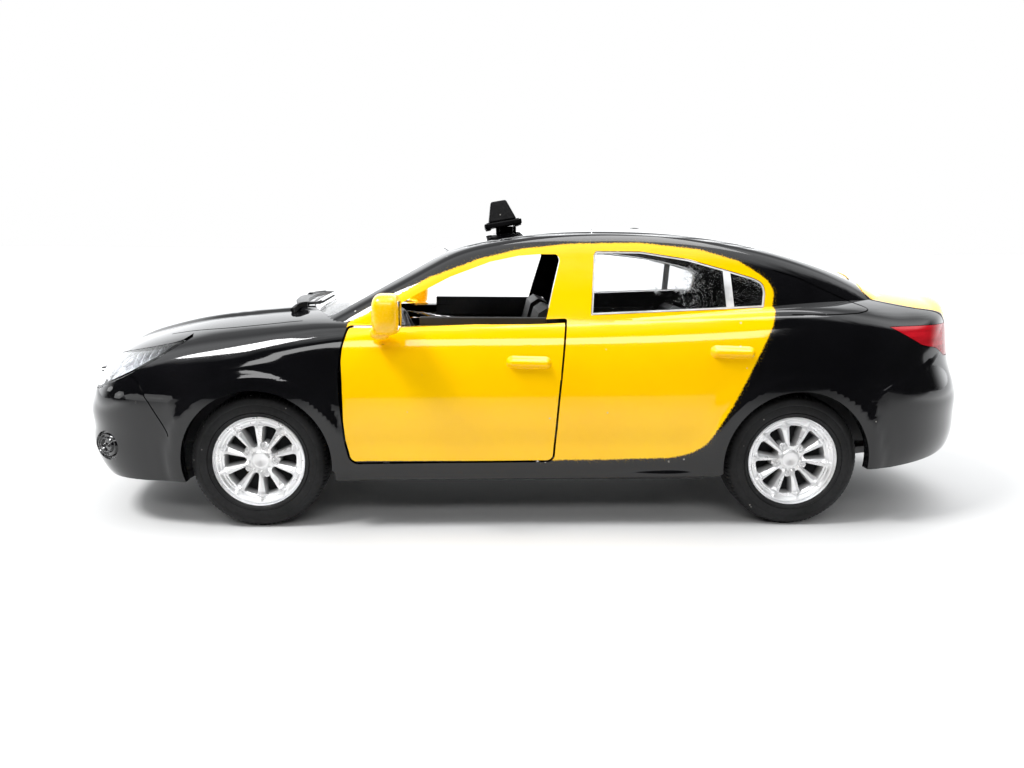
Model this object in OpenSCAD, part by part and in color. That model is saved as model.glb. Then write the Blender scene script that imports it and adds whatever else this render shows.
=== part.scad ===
// Die-cast toy taxi at 1:36, a four-door saloon with two opening front doors.
// +X is the front, +Y the car's left, +Z up. The origin is on the ground, under the middle of the car.

/* [Wheels] */
// Distance between the two axles
wheelbase = 75; // [72:0.5:78]
// Front axle's distance ahead of the origin
front_axle_x = 39; // [38:0.5:40]
// Tyre radius
tyre_r = 9.45; // [9:0.05:9.6]
// Tyre width
tyre_w = 6.6; // [5.5:0.1:7]
// Rim radius
rim_r = 6.35; // [6:0.05:6.8]
// Distance from the middle of the car to a tyre's outer face
track_half = 24.1; // [23.5:0.1:24.3]
// Axle radius
axle_r = 1; // [0.8:0.05:1.2]
// Play between an axle and its bearing
axle_play = 0.08; // [0.05:0.01:0.1]
// Spokes in a wheel
spokes = 10; // [8:1:12]

/* [Body] */
// Thickness of the casting
skin = 1.3; // [1.1:0.05:1.4]
// Wheel arch radius
arch_r = 10.35; // [10.2:0.05:10.6]
// Height of the casting's lower edge between the wheels
sill_z = 8.5; // [8.3:0.1:8.8]

/* [Doors] */
// Hinge line's distance ahead of the origin
hinge_x = 21.5; // [21:0.1:22]
// Hinge line's distance from the middle of the car
hinge_y = 23.2; // [23:0.1:23.4]
// Gap round a door
door_gap = 0.3; // [0.25:0.05:0.4]
// Angle that both doors are drawn open
door_open = 0; // [0:1:50]

/* [Base] */
// Underside of the base plate
base_z = 5.6; // [5.4:0.1:5.8]
// Base plate thickness
base_t = 1.2; // [1:0.1:1.3]
// Distance between the two display screw holes
screw_pitch = 56; // [54:1:58]
// Display screw hole radius
screw_r = 1.1; // [1:0.1:1.3]

/* [Hidden] */
rear_axle_x = front_axle_x - wheelbase;
YELLOW = [0.97, 0.76, 0.02];
BLACK = [0.03, 0.03, 0.035];
PLASTIC = [0.09, 0.09, 0.095];
e = 0.01;

// ---- curves ----
function clamp(v, a, b) = min(max(v, a), b);
function step3(t) = let (q = clamp(t, 0, 1)) q * q * (3 - 2 * q);
// Rounded maximum of two distances, k is the width of the rounding
function smax(a, b, k) = max(a, b) + pow(max(k - abs(a - b), 0) / k, 3) * k / 6;
// Natural cubic spline: the table [[x, y], ...] with the second derivatives added
function sweep_down(P, i, c, d) =
    i > len(P) - 2 ? [[c, d]] :
    let (h0 = P[i][0] - P[i-1][0], h1 = P[i+1][0] - P[i][0], mu = h0 / (h0 + h1),
        dd = 6 / (h0 + h1) * ((P[i+1][1] - P[i][1]) / h1 - (P[i][1] - P[i-1][1]) / h0), w = 2 - mu * c)
    concat([[c, d]], sweep_down(P, i + 1, (1 - mu) / w, (dd - mu * d) / w));
function sweep_up(S, i, M) = i < 1 ? M : sweep_up(S, i - 1, concat([S[i][1] - S[i][0] * M[0]], M));
function spline(P) = let (S = sweep_down(P, 1, 0, 0), M = concat([0], sweep_up(S, len(P) - 2, [0]))) [for (i = [0:len(P)-1]) [P[i][0], P[i][1], M[i]]];
function at(T, x) = let (n = len(T), i = clamp(len([for (p = T) if (p[0] <= x) 1]) - 1, 0, n - 2), h = T[i+1][0] - T[i][0],
    a = (T[i+1][0] - x) / h, b = (x - T[i][0]) / h)
    a < 0 ? T[n-1][1] + (x - T[n-1][0]) * ((T[n-1][1] - T[n-2][1]) / h + h * T[n-2][2] / 6) :
    b < 0 ? T[0][1] + (x - T[0][0]) * ((T[1][1] - T[0][1]) / h - h * T[1][2] / 6) :
    a * T[i][1] + b * T[i+1][1] + ((a*a*a - a) * T[i][2] + (b*b*b - b) * T[i+1][2]) * h * h / 6;

// Deck height on the centre line, from the boot to the bonnet
DECK_MID = spline([[-72, 27.5], [-67, 30.6], [-62, 32.2], [-56, 33.2], [-50, 33.8], [-42, 33.4], [-30, 32], [-10, 31], [15, 30.7], [30, 30.6], [36, 30.3], [42, 29.7], [48, 28.8], [54, 27.3], [59, 25.7], [63.5, 23.9], [67, 22], [71, 19.5]]);
// Deck height at the side, which is the waistline between the wheels
DECK_SIDE = spline([[-70, 24], [-60, 26.4], [-53, 28], [-47, 29.8], [-40, 30.9], [-31, 30.8], [-20, 30.1], [-3, 29.3], [10, 28.8], [26, 28.3], [33, 27.8], [39, 26.9], [45, 25.8], [51, 24.6], [57, 23], [63, 20.6], [70, 17]]);
// Half width against height, at mid length
SIDE = spline([[0, 22.6], [5, 24.2], [9, 24.85], [13, 25.2], [17, 25.4], [20, 25.35], [23, 25], [25, 24.5], [26.5, 23.95], [28, 23.2], [30, 22.4], [33, 21.3], [38, 19.5]]);
// How far the shoulder has risen
RISE = spline([[-66, 3], [-47, 3.2], [-31, 2], [-2, 0.6], [27, 0], [48, -1], [66, -2]]);
// Share of the full width along the car
PLAN = spline([[-70, 0.76], [-62, 0.87], [-56, 0.93], [-50, 0.967], [-43, 0.99], [-34, 1], [-10, 1], [20, 1], [36, 1], [44, 0.99], [50, 0.972], [56, 0.94], [62, 0.885], [70, 0.79]]);
// Nose and tail profiles on the centre line
NOSE = spline([[0, 58], [5, 64.4], [7, 66.4], [9, 67.4], [11, 67.8], [13, 67.6], [15, 67.8], [17, 67.5], [19, 66.8], [21, 65.7], [23, 64.3], [26, 61.8], [30, 58]]);
TAIL = spline([[0, 57], [6, 62.7], [8, 65.3], [10, 67.1], [12, 67.75], [15, 67.8], [18, 67.8], [20, 67.2], [22, 66.4], [25, 65.7], [28, 65.2], [31, 64.6], [36, 63]]);
// Rounding between deck and side
ROUND = spline([[-70, 2.2], [-56, 2.6], [-46, 3], [-38, 1.6], [-28, 1.2], [0, 1.2], [26, 1.3], [36, 3.4], [46, 5], [60, 5], [70, 4]]);
// Roof line on the centre line: rear window, roof and windscreen
ROOF = spline([[-60, 30.4], [-56, 32.3], [-50, 35.2], [-41.5, 38.1], [-33, 40.1], [-26, 41.2], [-18, 41.9], [-9, 42.1], [0, 41.7], [8, 40.7], [14.6, 39.2], [20, 37], [26, 34.4], [34, 30.9], [38, 29], [44, 26]]);
// Half width of the cabin at the waist
CABIN = spline([[-60, 14.5], [-50, 18], [-42, 20.2], [-33, 21.5], [-22, 22.3], [-10, 22.6], [5, 22.6], [18, 22.2], [27, 21.2], [34, 19.5], [44, 16]]);

function deck(x, y) = let (q = y / 22.5, c = at(DECK_MID, x), s = at(DECK_SIDE, x)) c + (s - c) * (0.35 * q * q + 0.65 * q * q * q * q);
function arch_lip(x, z, ax) = let (r = norm([x - ax, z - tyre_r])) 0.45 * step3((13.4 - r) / 2.6) * step3((z - 4) / 5);
function side(x, z) = at(SIDE, z - at(RISE, x) * step3((z - 14) / 12)) * at(PLAN, x) + arch_lip(x, z, front_axle_x) + arch_lip(x, z, rear_axle_x);
function f_lower(x, y, z) = let (
    fs = y - side(x, z),
    ff = x - at(NOSE, z) + 0.0095 * y * y + 0.0000068 * y * y * y * y,
    fr = -x - at(TAIL, z) + 0.0145 * y * y + 0.000013 * y * y * y * y)
    smax(smax(fs, max(ff, fr), 8), z - deck(x, y), at(ROUND, x));
function f_cabin(x, y, z) = let (
    fs = y - at(CABIN, x) + 0.4 * max(z - 29, -0.5) + 0.006 * pow(max(z - 29, 0), 2),
    ft = z - at(ROOF, -9 + (x + 9) * (1 + 0.19 * y * y / 441)) + y * y / 306)
    smax(fs, ft, 3.2);

// Distance along a ray from o in direction d to where the shape f (0 lower body, 1 cabin) is -off
function f_of(f, p) = f == 0 ? f_lower(p[0], p[1], p[2]) : f_cabin(p[0], p[1], p[2]);
function hit(f, o, d, off, lo, hi, n) = n == 0 ? o + d * (lo + hi) / 2 :
    let (m = (lo + hi) / 2) f_of(f, o + d * m) > -off ? hit(f, o, d, off, lo, m, n - 1) : hit(f, o, d, off, m, hi, n - 1);
// A closed form made of rays from a spine along X at height z0, from x0 to x1, with fans at both ends.
// n is the number of steps along the spine, k those in each fan, E the elevations, zb its flat bottom.
module form(f, off, x0, x1, z0, n, k, E, zb, reach) {
    st = concat([for (i = [0:k-1]) [x0, 0, 90 * i / k - 90]], [for (i = [0:n]) [x0 + (x1 - x0) * i / n, i, 0]], [for (i = [1:k]) [x1, n, 90 * i / k]]);
    ns = len(st);
    m = len(E);
    half = [for (s = st) [for (a = E) hit(f, [s[0], 0, z0], [sin(s[2]) * cos(a), cos(s[2]) * cos(a), sin(a)], off, 1, reach, 14)]];
    top = [for (i = [0:n]) hit(f, [x0 + (x1 - x0) * i / n, 0, z0], [0, 0, 1], off, 1, reach, 14)];
    low = [for (i = [0:n]) [x0 + (x1 - x0) * i / n, 0, zb]];
    // The ring of stations goes up the left side and back down the right one
    ring = concat([for (i = [0:ns-1]) [i, 1]], [for (i = [ns-2:-1:1]) [i, -1]]);
    nr = len(ring);
    pts = concat(top, low, [for (r = ring) for (p = half[r[0]]) [p[0], p[1] * r[1], p[2]]]);
    function ix(r, j) = j < 0 ? st[ring[r % nr][0]][1] : j >= m ? n + 1 + st[ring[r % nr][0]][1] : 2 * (n + 1) + (r % nr) * m + j;
    tris = [for (r = [0:nr-1]) for (j = [-1:m-1]) for (t = [[ix(r, j), ix(r + 1, j + 1), ix(r + 1, j)], [ix(r, j), ix(r, j + 1), ix(r + 1, j + 1)]])
        if (t[0] != t[1] && t[1] != t[2] && t[2] != t[0]) t];
    polyhedron(points = pts, faces = tris, convexity = 8);
}
E_OUT = [78, 66, 56, 48, 42, 37.5, 34, 31.5, 29, 26.5, 24, 21.5, 19, 16, 12.5, 8.5, 4, -1, -7, -13, -19, -25, -31];
E_IN = [70, 52, 40, 33, 28, 23, 17, 8, -4, -18, -34];
E_ROOF = [76, 64, 54, 46, 40, 35, 30, 26, 22, 17, 11, 4];
module lower(off) form(0, off, -38, 38, 16, 30, 11, E_OUT, -6, 60);
module lower_in(off) form(0, off, -38, 38, 15, 18, 8, E_IN, -8, 60);
module cabin(off, k = 1) form(1, off, -34, 20, 27, 20 * k, 6 * k, E_ROOF, 21, 50);

// ---- outlines, side view [x, z] ----
door_line = [[26.3, 28.0], [27.0, 25.4], [27.3, 22], [27.2, 18.5], [26.7, 13], [26.1, 10.3], [25.4, 9.7], [-1.2, 9.95], [-1.7, 10.4], [-2.3, 18.5], [-2.9, 25], [-3.3, 29.15], [18.5, 28.15]];
front_glass = [[23.4, 28.9], [18.9, 28.0], [-0.7, 29.2], [-1.7, 33.3], [-2.8, 37.4], [-2.4, 38.1], [0, 38.1], [3, 37.85], [7, 37.0], [12.6, 34.9], [17.2, 32.5]];
rear_glass_side = [[-6.9, 29.85], [-7.6, 38.1], [-7.9, 38.6], [-14.3, 38.6], [-21, 37.6], [-27, 35.9], [-30.4, 34.6], [-31.6, 33.5], [-31.9, 32.2], [-31.1, 31.35]];
windscreen_plan = [[34.9, 0], [34.3, 8], [32.2, 14], [29.8, 18.2], [28.4, 18.7], [24, 17.9], [18.5, 16.5], [13.6, 14.9], [12.9, 14.0], [14.0, 8], [14.4, 0]];
rear_plan = [[-30.5, 0], [-30, 8], [-28.8, 13.6], [-29.6, 14.6], [-38, 15.2], [-45.4, 15.2], [-46.6, 14.2], [-48.6, 8], [-49.3, 0]];
headlight_line = [[49.2, 25.9], [52.5, 23.6], [56.3, 21.5], [62, 18.9], [70, 17.6], [70, 21.2], [64, 22.6], [58, 24.1]];
tail_light_line = [[-48.6, 28.6], [-54, 25.9], [-57.4, 25.2], [-59.6, 23.9], [-70, 23.5], [-70, 28], [-62, 28.6]];
module side_prism(p, y0 = 12, y1 = 32, s = 1) rotate([90, 0, 0]) translate([0, 0, s > 0 ? -y1 : y0]) linear_extrude(y1 - y0) polygon(p);
module plan_prism(p, z0, z1) translate([0, 0, z0]) linear_extrude(z1 - z0) union() { polygon(p); mirror([0, 1]) polygon(p); }
module both() { children(); mirror([0, 1, 0]) children(); }
module grown(p, d) { offset(delta = d) polygon(p); }

// ---- body casting ----
module arches(r, y0) for (x = [front_axle_x, rear_axle_x]) translate([x, 0, tyre_r]) rotate([90, 0, 0]) both() translate([0, 0, 0]) cylinder(r = r, h = 40, $fn = 72);
module under_line() // what is cut off below the casting's lower edge
    rotate([90, 0, 0]) translate([0, 0, -40]) linear_extrude(80)
        polygon([[80, -20], [80, 6.6], [60, 6.5], [front_axle_x + 8, 6.7], [front_axle_x, 6.7], [front_axle_x, sill_z], [28.4, sill_z], [28.3, sill_z - 1.5], [-25.6, sill_z - 0.94], [-27, sill_z], [rear_axle_x, sill_z], [-50, 8.6], [-58, 9.3], [-64, 10.2], [-80, 11.2], [-80, -20]]);
module body_shell() color(BLACK) resize([0, 0, 0]) difference() {
    union() { lower(0); cabin(0); }
    lower_in(skin);
    cabin(skin - 0.1);
    under_line();
    for (x = [front_axle_x, rear_axle_x]) translate([x, 40, tyre_r]) rotate([90, 0, 0]) cylinder(r = arch_r, h = 80, $fn = 72);
    both() {
        rotate([90, 0, 0]) translate([0, 0, -32]) linear_extrude(20) grown(door_line, door_gap);
        side_prism(front_glass);
        side_prism(rear_glass_side);
        intersection() { side_prism(headlight_line, 9.5, 30); rotate([0, 0, 0]) translate([48, 9.5, 10]) cube([30, 30, 30]); }
        side_prism(tail_light_line, 10.5, 30);
    }
    plan_prism(windscreen_plan, 26, 50);
    plan_prism(rear_plan, 30.5, 50);
    // lower and upper grille openings in the nose
    translate([60, -13, 8.2]) cube([20, 26, 4.6]);
    translate([60, -9, 18.3]) cube([20, 18, 2.6]);
    // seats for the number plates and the clip hole for the sign
    translate([67.2, -7.3, 13.1]) cube([3, 14.6, 3.3]);
    translate([-70.2, -7.3, 14.6]) cube([3, 14.6, 3.3]);
    translate([2.6, -1.6, 38]) cube([3.4, 3.2, 6]);
    // room for the door hinges and their pins
    both() translate([hinge_x, hinge_y, 9]) cylinder(r = 1.6, h = 14.5, $fn = 24);
    both() translate([hinge_x, hinge_y, 6]) cylinder(r = 0.56, h = 4, $fn = 24);
}

// ---- doors ----
module hinge_swing(r) // everything behind the hinge line, and ahead of it only what turns clear of the wing
    union() { translate([hinge_x - 60, 0, 0]) cube([60, 40, 40]);
        translate([hinge_x, hinge_y, 5]) cylinder(r = r, h = 30, $fn = 96); }
module door_panel() difference() {
    intersection() {
        difference() { lower(0); lower_in(skin - 0.1); }
        rotate([90, 0, 0]) translate([0, 0, -32]) linear_extrude(20) polygon(door_line);
        hinge_swing(5.9);
    }
    translate([hinge_x, hinge_y, 0]) cylinder(r = 1.05, h = 26, $fn = 32);
    cabin(0);
}
module front_door_left() color(YELLOW) door_at(1) resize([0, 0, 0]) door_panel();
module front_door_right() color(YELLOW) door_at(-1) resize([0, 0, 0]) mirror([0, 1, 0]) door_panel();
module door_at(s) translate([hinge_x, s * hinge_y, 0]) rotate([0, 0, -s * door_open]) translate([-hinge_x, -s * hinge_y, 0]) children();
module door_trim(s) difference() {
    union() {
        rotate([90, 0, 0]) translate([0, 0, s > 0 ? -21.9 : 21.0]) linear_extrude(0.9) polygon([[26.1, 26.2], [26.2, 14], [25, 10.6], [-0.7, 10.8], [-1.7, 18.5], [-2.3, 27.3], [12, 26.9], [18, 26.4]]);
        translate([hinge_x, s * hinge_y, 11]) cylinder(r = 0.95, h = 12, $fn = 32);
        translate([hinge_x - 0.6, s > 0 ? 21.5 : -22.6, 11]) cube([1.2, 1.1, 12]);
        translate([2, s > 0 ? 20.4 : -21.1, 21.6]) cube([9, 0.7, 1.1]);
    }
    translate([hinge_x, s * hinge_y, 10]) cylinder(r = 0.55, h = 14, $fn = 32);
}
module door_trim_left() color(PLASTIC) door_at(1) door_trim(1);
module door_trim_right() color(PLASTIC) door_at(-1) door_trim(-1);
module door_pin(s) translate([hinge_x, s * hinge_y, 7.4]) cylinder(r = 0.5, h = 15, $fn = 32);
module door_pin_left() color("silver") door_pin(1);
module door_pin_right() color("silver") door_pin(-1);
// Housing on a short foot that stands on the door's front upper corner
module mirror_shape(s) union() {
    hull() for (y = [26.6, 28.6]) for (z = [29.1, 31.5]) translate([20.6, s * y, z]) scale([2, y > 28 ? 1.3 : 1.6, 1.7]) sphere(r = 1, $fn = 20);
    hull() { translate([21.2, s * 26.2, 28.4]) sphere(r = 0.9, $fn = 16); translate([21.9, s * 24.62, 27.1]) scale([1.5, 0.75, 0.75]) sphere(r = 1, $fn = 16); }
}
module door_mirror_left() color(YELLOW) door_at(1) mirror_shape(1);
module door_mirror_right() color(YELLOW) door_at(-1) mirror_shape(-1);

// ---- glazing and lamps ----
GLASS = [0.85, 0.93, 0.95, 0.4];
module glass_of(o, t) difference() { cabin(o); cabin(o + t); }
module shrunk_plan(p, z0, z1) translate([0, 0, z0]) linear_extrude(z1 - z0) offset(delta = -0.06) union() { polygon(p); mirror([0, 1]) polygon(p); }
module shrunk_side(p, y0, y1) rotate([90, 0, 0]) translate([0, 0, -y1]) linear_extrude(y1 - y0) offset(delta = -0.06) polygon(p);
module windscreen() color(GLASS) resize([0, 0, 0]) intersection() { glass_of(0.2, 0.8); shrunk_plan(windscreen_plan, 28, 50); }
module rear_window() color(GLASS) resize([0, 0, 0]) intersection() { glass_of(0.2, 0.8); shrunk_plan(rear_plan, 31, 50); }
module rear_side_window() intersection() { glass_of(0.3, 0.8); shrunk_side(rear_glass_side, 12, 32); }
module rear_side_window_left() color(GLASS) resize([0, 0, 0]) rear_side_window();
module rear_side_window_right() color(GLASS) resize([0, 0, 0]) mirror([0, 1, 0]) rear_side_window();
module lens(p, y0, o, t) intersection() {
    difference() { lower(o); lower_in(o + t); }
    shrunk_side(p, y0 + 0.06, 30);
}
module headlight_left() color([0.9, 0.93, 0.95, 0.5]) resize([0, 0, 0]) lens(headlight_line, 9.5, 0.05, 0.8);
module headlight_right() color([0.9, 0.93, 0.95, 0.5]) resize([0, 0, 0]) mirror([0, 1, 0]) lens(headlight_line, 9.5, 0.05, 0.8);
module headlight_bowl_left() color("silver") resize([0, 0, 0]) lens(headlight_line, 9.5, 1.7, 0.9);
module headlight_bowl_right() color("silver") resize([0, 0, 0]) mirror([0, 1, 0]) lens(headlight_line, 9.5, 1.7, 0.9);
module tail_light_left() color([0.6, 0.02, 0.04]) resize([0, 0, 0]) lens(tail_light_line, 10.5, 0.05, 1.2);
module tail_light_right() color([0.6, 0.02, 0.04]) resize([0, 0, 0]) mirror([0, 1, 0]) lens(tail_light_line, 10.5, 0.05, 1.2);

// ---- small parts on the outside ----
module bar(x0, x1, y0, y1, z0, z1) translate([x0, y0, z0]) cube([x1 - x0, y1 - y0, z1 - z0]);
module grille() color(PLASTIC) { bar(62.6, 64, -8.9, 8.9, 18.4, 20.8); for (z = [18.8, 19.9]) bar(64, 65, -8.9, 8.9, z, z + 0.5); }
module lower_grille() color(PLASTIC) { bar(62.8, 64, -12.9, 12.9, 8.3, 12.7); for (z = [8.9, 10.2, 11.5]) bar(64, 65, -12.9, 12.9, z, z + 0.6); }
module number_plate_front() color("white") bar(67.25, 67.95, -7.2, 7.2, 13.2, 16.3);
module number_plate_rear() color("white") bar(-67.95, -67.25, -7.2, 7.2, 14.7, 17.8);
module sign_bracket() color(PLASTIC) union() {
    bar(2.7, 5.9, -1.5, 1.5, 39.4, 42.3);
    translate([4.9, 0, 42.5]) rotate([0, 10, 0]) bar(-2.9, 2.9, -6.3, 6.3, -0.4, 0.4);
    for (y = [-5.2, 5.2]) translate([4.9, y, 41.2]) rotate([0, 10, 0]) bar(-2.4, 2.4, -0.5, 0.5, 0.55, 1.2);
}
module roof_sign() color(PLASTIC) translate([4.9, 0, 42.5]) rotate([0, 10, 0]) hull() { bar(-2.2, 2.2, -6, 6, 0.42, 0.8); bar(-1.1, 1.4, -5.2, 5.2, 3.2, 3.6); }
module wiper_panel() color(PLASTIC) resize([0, 0, 0]) difference() {
    intersection() { difference() { lower(-0.5); lower(-0.03); }
        shrunk_plan([[37.6, 0], [36.7, 8], [34.2, 14], [31.6, 18], [30.2, 18.2], [32.4, 14], [34.6, 8], [35.2, 0]], 26, 34); }
    cabin(-0.05);
}

// ---- underneath ----
boss_x = screw_pitch / 2;
module axle_bore() for (x = [front_axle_x, rear_axle_x]) translate([x, 20, tyre_r]) rotate([90, 0, 0]) cylinder(r = axle_r + axle_play, h = 40, $fn = 48);
module base_plate() color(PLASTIC) difference() {
    union() {
        // raised floor inside the rear bumper
        translate([0, 0, 8.9]) linear_extrude(1) polygon([[-57, -10], [-54, -15.5], [-48, -17.5], [-46.4, -17.5], [-46.4, 17.5], [-48, 17.5], [-54, 15.5], [-57, 10]]);
        bar(-47.4, -46.4, -13, 13, base_z, 9.9);
        translate([0, 0, base_z]) linear_extrude(base_t) polygon(concat(base_side, [for (i = [len(base_side)-1:-1:0]) [base_side[i][0], -base_side[i][1]]]));
        for (s = [-1, 1]) {
            // ledge that closes the sill from below
            translate([-24.3, 0, 0]) rotate([90, 0, 90]) linear_extrude(51.6) polygon([[s * 16.8, base_z], [s * 19.6, base_z], [s * 20.2, 7.8], [s * 23.05, 7.8], [s * 23.05, 8.6], [s * 16.8, 8.6]]);
            for (x = [front_axle_x, rear_axle_x]) bar(x - 2.2, x + 2.2, s * 13.5 - 1.5, s * 13.5 + 1.5, base_z, tyre_r + 2.3);
            // inner walls of the wheel arches
            for (x = [front_axle_x, rear_axle_x]) translate([x, s * 16.1 + 0.3, tyre_r]) rotate([90, 0, 0]) union() { intersection() { cylinder(r = 11.2, h = 0.6, $fn = 72); bar(-12, 12, base_z - tyre_r, 12, -1, 1); } translate([x > 0 ? 0 : -15.2, 1.2, 0]) cube([15.2, 9.9, 0.6]); }
            translate([s * boss_x, 0, base_z]) cylinder(r = 2.4, h = 4.2, $fn = 32);
        }
    }
    axle_bore();
    for (s = [-1, 1]) {
        translate([s * boss_x, 0, base_z - 1]) cylinder(r = screw_r, h = 8, $fn = 32);
        translate([hinge_x, s * hinge_y, base_z - 1]) cylinder(r = 0.5 + e, h = 8, $fn = 32);
    }
}
base_side = [[-47.4, 13], [-46.4, 16.4], [-24.6, 16.4], [-24.3, 19.6], [27.3, 19.6], [27.6, 16.4], [50, 16.4], [50.5, 20], [57, 17.5], [62, 12]];

// ---- cabin ----
tray_z = 10.4;
module interior_tray() color(PLASTIC) union() {
    bar(-24.6, 26.6, -17.6, 17.6, tray_z, tray_z + 0.9);
    bar(-24.6, -4.4, -21.4, 21.4, tray_z, tray_z + 0.9);
    for (s = [-1, 1]) bar(-24.6, -4.4, s > 0 ? 20.6 : -21.4, s > 0 ? 21.4 : -20.6, tray_z + 0.8, 27.4);
    bar(25.7, 26.6, -17.6, 17.6, tray_z + 0.8, 20.9);
    bar(-8.4, 20, -2.2, 2.2, tray_z + 0.8, 13);
    translate([0, 20.6, 0]) rotate([90, 0, 0]) linear_extrude(41.2) polygon([[-23.9, tray_z], [-24, 20.4], [-30, 27], [-46, 28.6], [-46, 27.8], [-30.4, 26.1], [-25.2, 20.2], [-24.72, tray_z]]);
}
module dashboard() color(PLASTIC) translate([0, 16.7, 0]) rotate([90, 0, 0]) linear_extrude(33.4) polygon([[22.6, 20.95], [29, 20.95], [34.6, 26.4], [34.6, 27.2], [27.8, 27.8], [23.6, 27.2], [21.8, 25.4], [22, 22]]);
wheel_tilt = 24;
module steering_wheel() color([0.2, 0.2, 0.21]) translate([18.8, 9.5, 25.4]) rotate([0, 90 + wheel_tilt, 0]) {
    rotate_extrude($fn = 48) translate([4.3, 0]) circle(r = 0.45, $fn = 16);
    cylinder(r = 1.2, h = 0.8, center = true, $fn = 32);
    for (a = [90, 210, 330]) rotate([0, 0, a]) bar(0.8, 4, -0.35, 0.35, -0.3, 0.3);
    cylinder(r = 0.6, h = 2.5, $fn = 24);
}
module seat(w, x, back) translate([x, w / 2, tray_z + 0.93]) rotate([90, 0, 0]) linear_extrude(w) polygon([[12, 0], [12.4, 3.6], [11, 4.4], [2.4, 3.6], [-back, 18.2], [-back - 1.2, 19], [-back - 2.8, 18.4], [-1, 1], [0, 0]]);
module front_seat_left() color([0.13, 0.13, 0.14]) translate([0, 9.8, 0]) seat(12.5, 1.4, 1.5);
module front_seat_right() color([0.13, 0.13, 0.14]) translate([0, -9.8, 0]) seat(12.5, 1.4, 1.5);
module rear_seat() color([0.13, 0.13, 0.14]) translate([0, 19.9, tray_z + 0.93]) rotate([90, 0, 0]) linear_extrude(39.8) polygon([[-23.8, 0], [-9.5, 0], [-9, 3.6], [-10.2, 4.4], [-19.2, 4], [-25.6, 16.6], [-26.6, 17.2], [-28.7, 15.2], [-23.5, 9]]);

// ---- wheels ----
axle_half = track_half - 2.2;
module axle(x) translate([x, axle_half, tyre_r]) rotate([90, 0, 0]) cylinder(r = axle_r, h = 2 * axle_half, $fn = 48);
module axle_front() color("silver") axle(front_axle_x);
module axle_rear() color("silver") axle(rear_axle_x);
// Wheel parts are drawn along Z with the outer face up, and swung out to side s
module on_wheel(x, s) translate([x, s * track_half, tyre_r]) rotate([s > 0 ? -90 : 90, 0, 0]) children();
module tyre() rotate_extrude($fn = 72) polygon([[rim_r + 0.02, -tyre_w + 0.5], [rim_r + 0.6, -tyre_w], [tyre_r - 1.1, -tyre_w], [tyre_r - 0.25, -tyre_w + 0.6], [tyre_r, -tyre_w + 1.6],
    [tyre_r, -1.6], [tyre_r - 0.25, -0.6], [tyre_r - 1.1, 0], [rim_r + 0.9, -0.1], [rim_r + 0.02, -0.5]]);
module rim(a0) union() {
    rotate_extrude($fn = 72) polygon([[rim_r, -tyre_w + 0.4], [rim_r, -0.25], [rim_r - 0.35, -0.1], [rim_r - 0.75, -0.45], [rim_r - 0.9, -tyre_w + 0.4]]);
    difference() {
        union() {
            translate([0, 0, -2.6]) cylinder(r = 1.9, h = 1.9, $fn = 48);
            translate([0, 0, -tyre_w + 0.6]) cylinder(r = 1.8, h = tyre_w - 2, $fn = 48);
            translate([0, 0, -1.9]) cylinder(r = rim_r - 0.6, h = 0.3, $fn = 48);
            for (i = [0:spokes-1]) rotate([0, 0, a0 + i * 360 / spokes]) translate([1.2, 0, -1.7]) rotate([90, 0, 0]) translate([0, 0, -0.42]) linear_extrude(0.84) polygon([[0, 0], [0, 0.7], [2.6, 1.1], [4.6, 1.25], [4.6, 0]]);
            for (i = [0:4]) rotate([0, 0, a0 + 18 + i * 72]) translate([2.6, 0, -1.7]) cylinder(r = 0.5, h = 0.6, $fn = 24);
        }
        translate([0, 0, -tyre_w]) cylinder(r = axle_r + 0.02, h = tyre_w - 2.2 + e, $fn = 48);
    }
}
module tyre_front_left() color([0.05, 0.05, 0.055]) on_wheel(front_axle_x, 1) tyre();
module tyre_front_right() color([0.05, 0.05, 0.055]) on_wheel(front_axle_x, -1) tyre();
module tyre_rear_left() color([0.05, 0.05, 0.055]) on_wheel(rear_axle_x, 1) tyre();
module tyre_rear_right() color([0.05, 0.05, 0.055]) on_wheel(rear_axle_x, -1) tyre();
module rim_front_left() color("silver") on_wheel(front_axle_x, 1) rim(0);
module rim_front_right() color("silver") on_wheel(front_axle_x, -1) rim(0);
module rim_rear_left() color("silver") on_wheel(rear_axle_x, 1) rim(23);
module rim_rear_right() color("silver") on_wheel(rear_axle_x, -1) rim(23);

body_shell();
front_door_left();
front_door_right();
door_trim_left();
door_trim_right();
door_mirror_left();
door_mirror_right();
door_pin_left();
door_pin_right();
windscreen();
rear_window();
rear_side_window_left();
rear_side_window_right();
headlight_left();
headlight_right();
headlight_bowl_left();
headlight_bowl_right();
tail_light_left();
tail_light_right();
grille();
lower_grille();
number_plate_front();
number_plate_rear();
roof_sign();
sign_bracket();
wiper_panel();
base_plate();
interior_tray();
dashboard();
steering_wheel();
front_seat_left();
front_seat_right();
rear_seat();
axle_front();
axle_rear();
tyre_front_left();
tyre_front_right();
tyre_rear_left();
tyre_rear_right();
rim_front_left();
rim_front_right();
rim_rear_left();
rim_rear_right();
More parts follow.
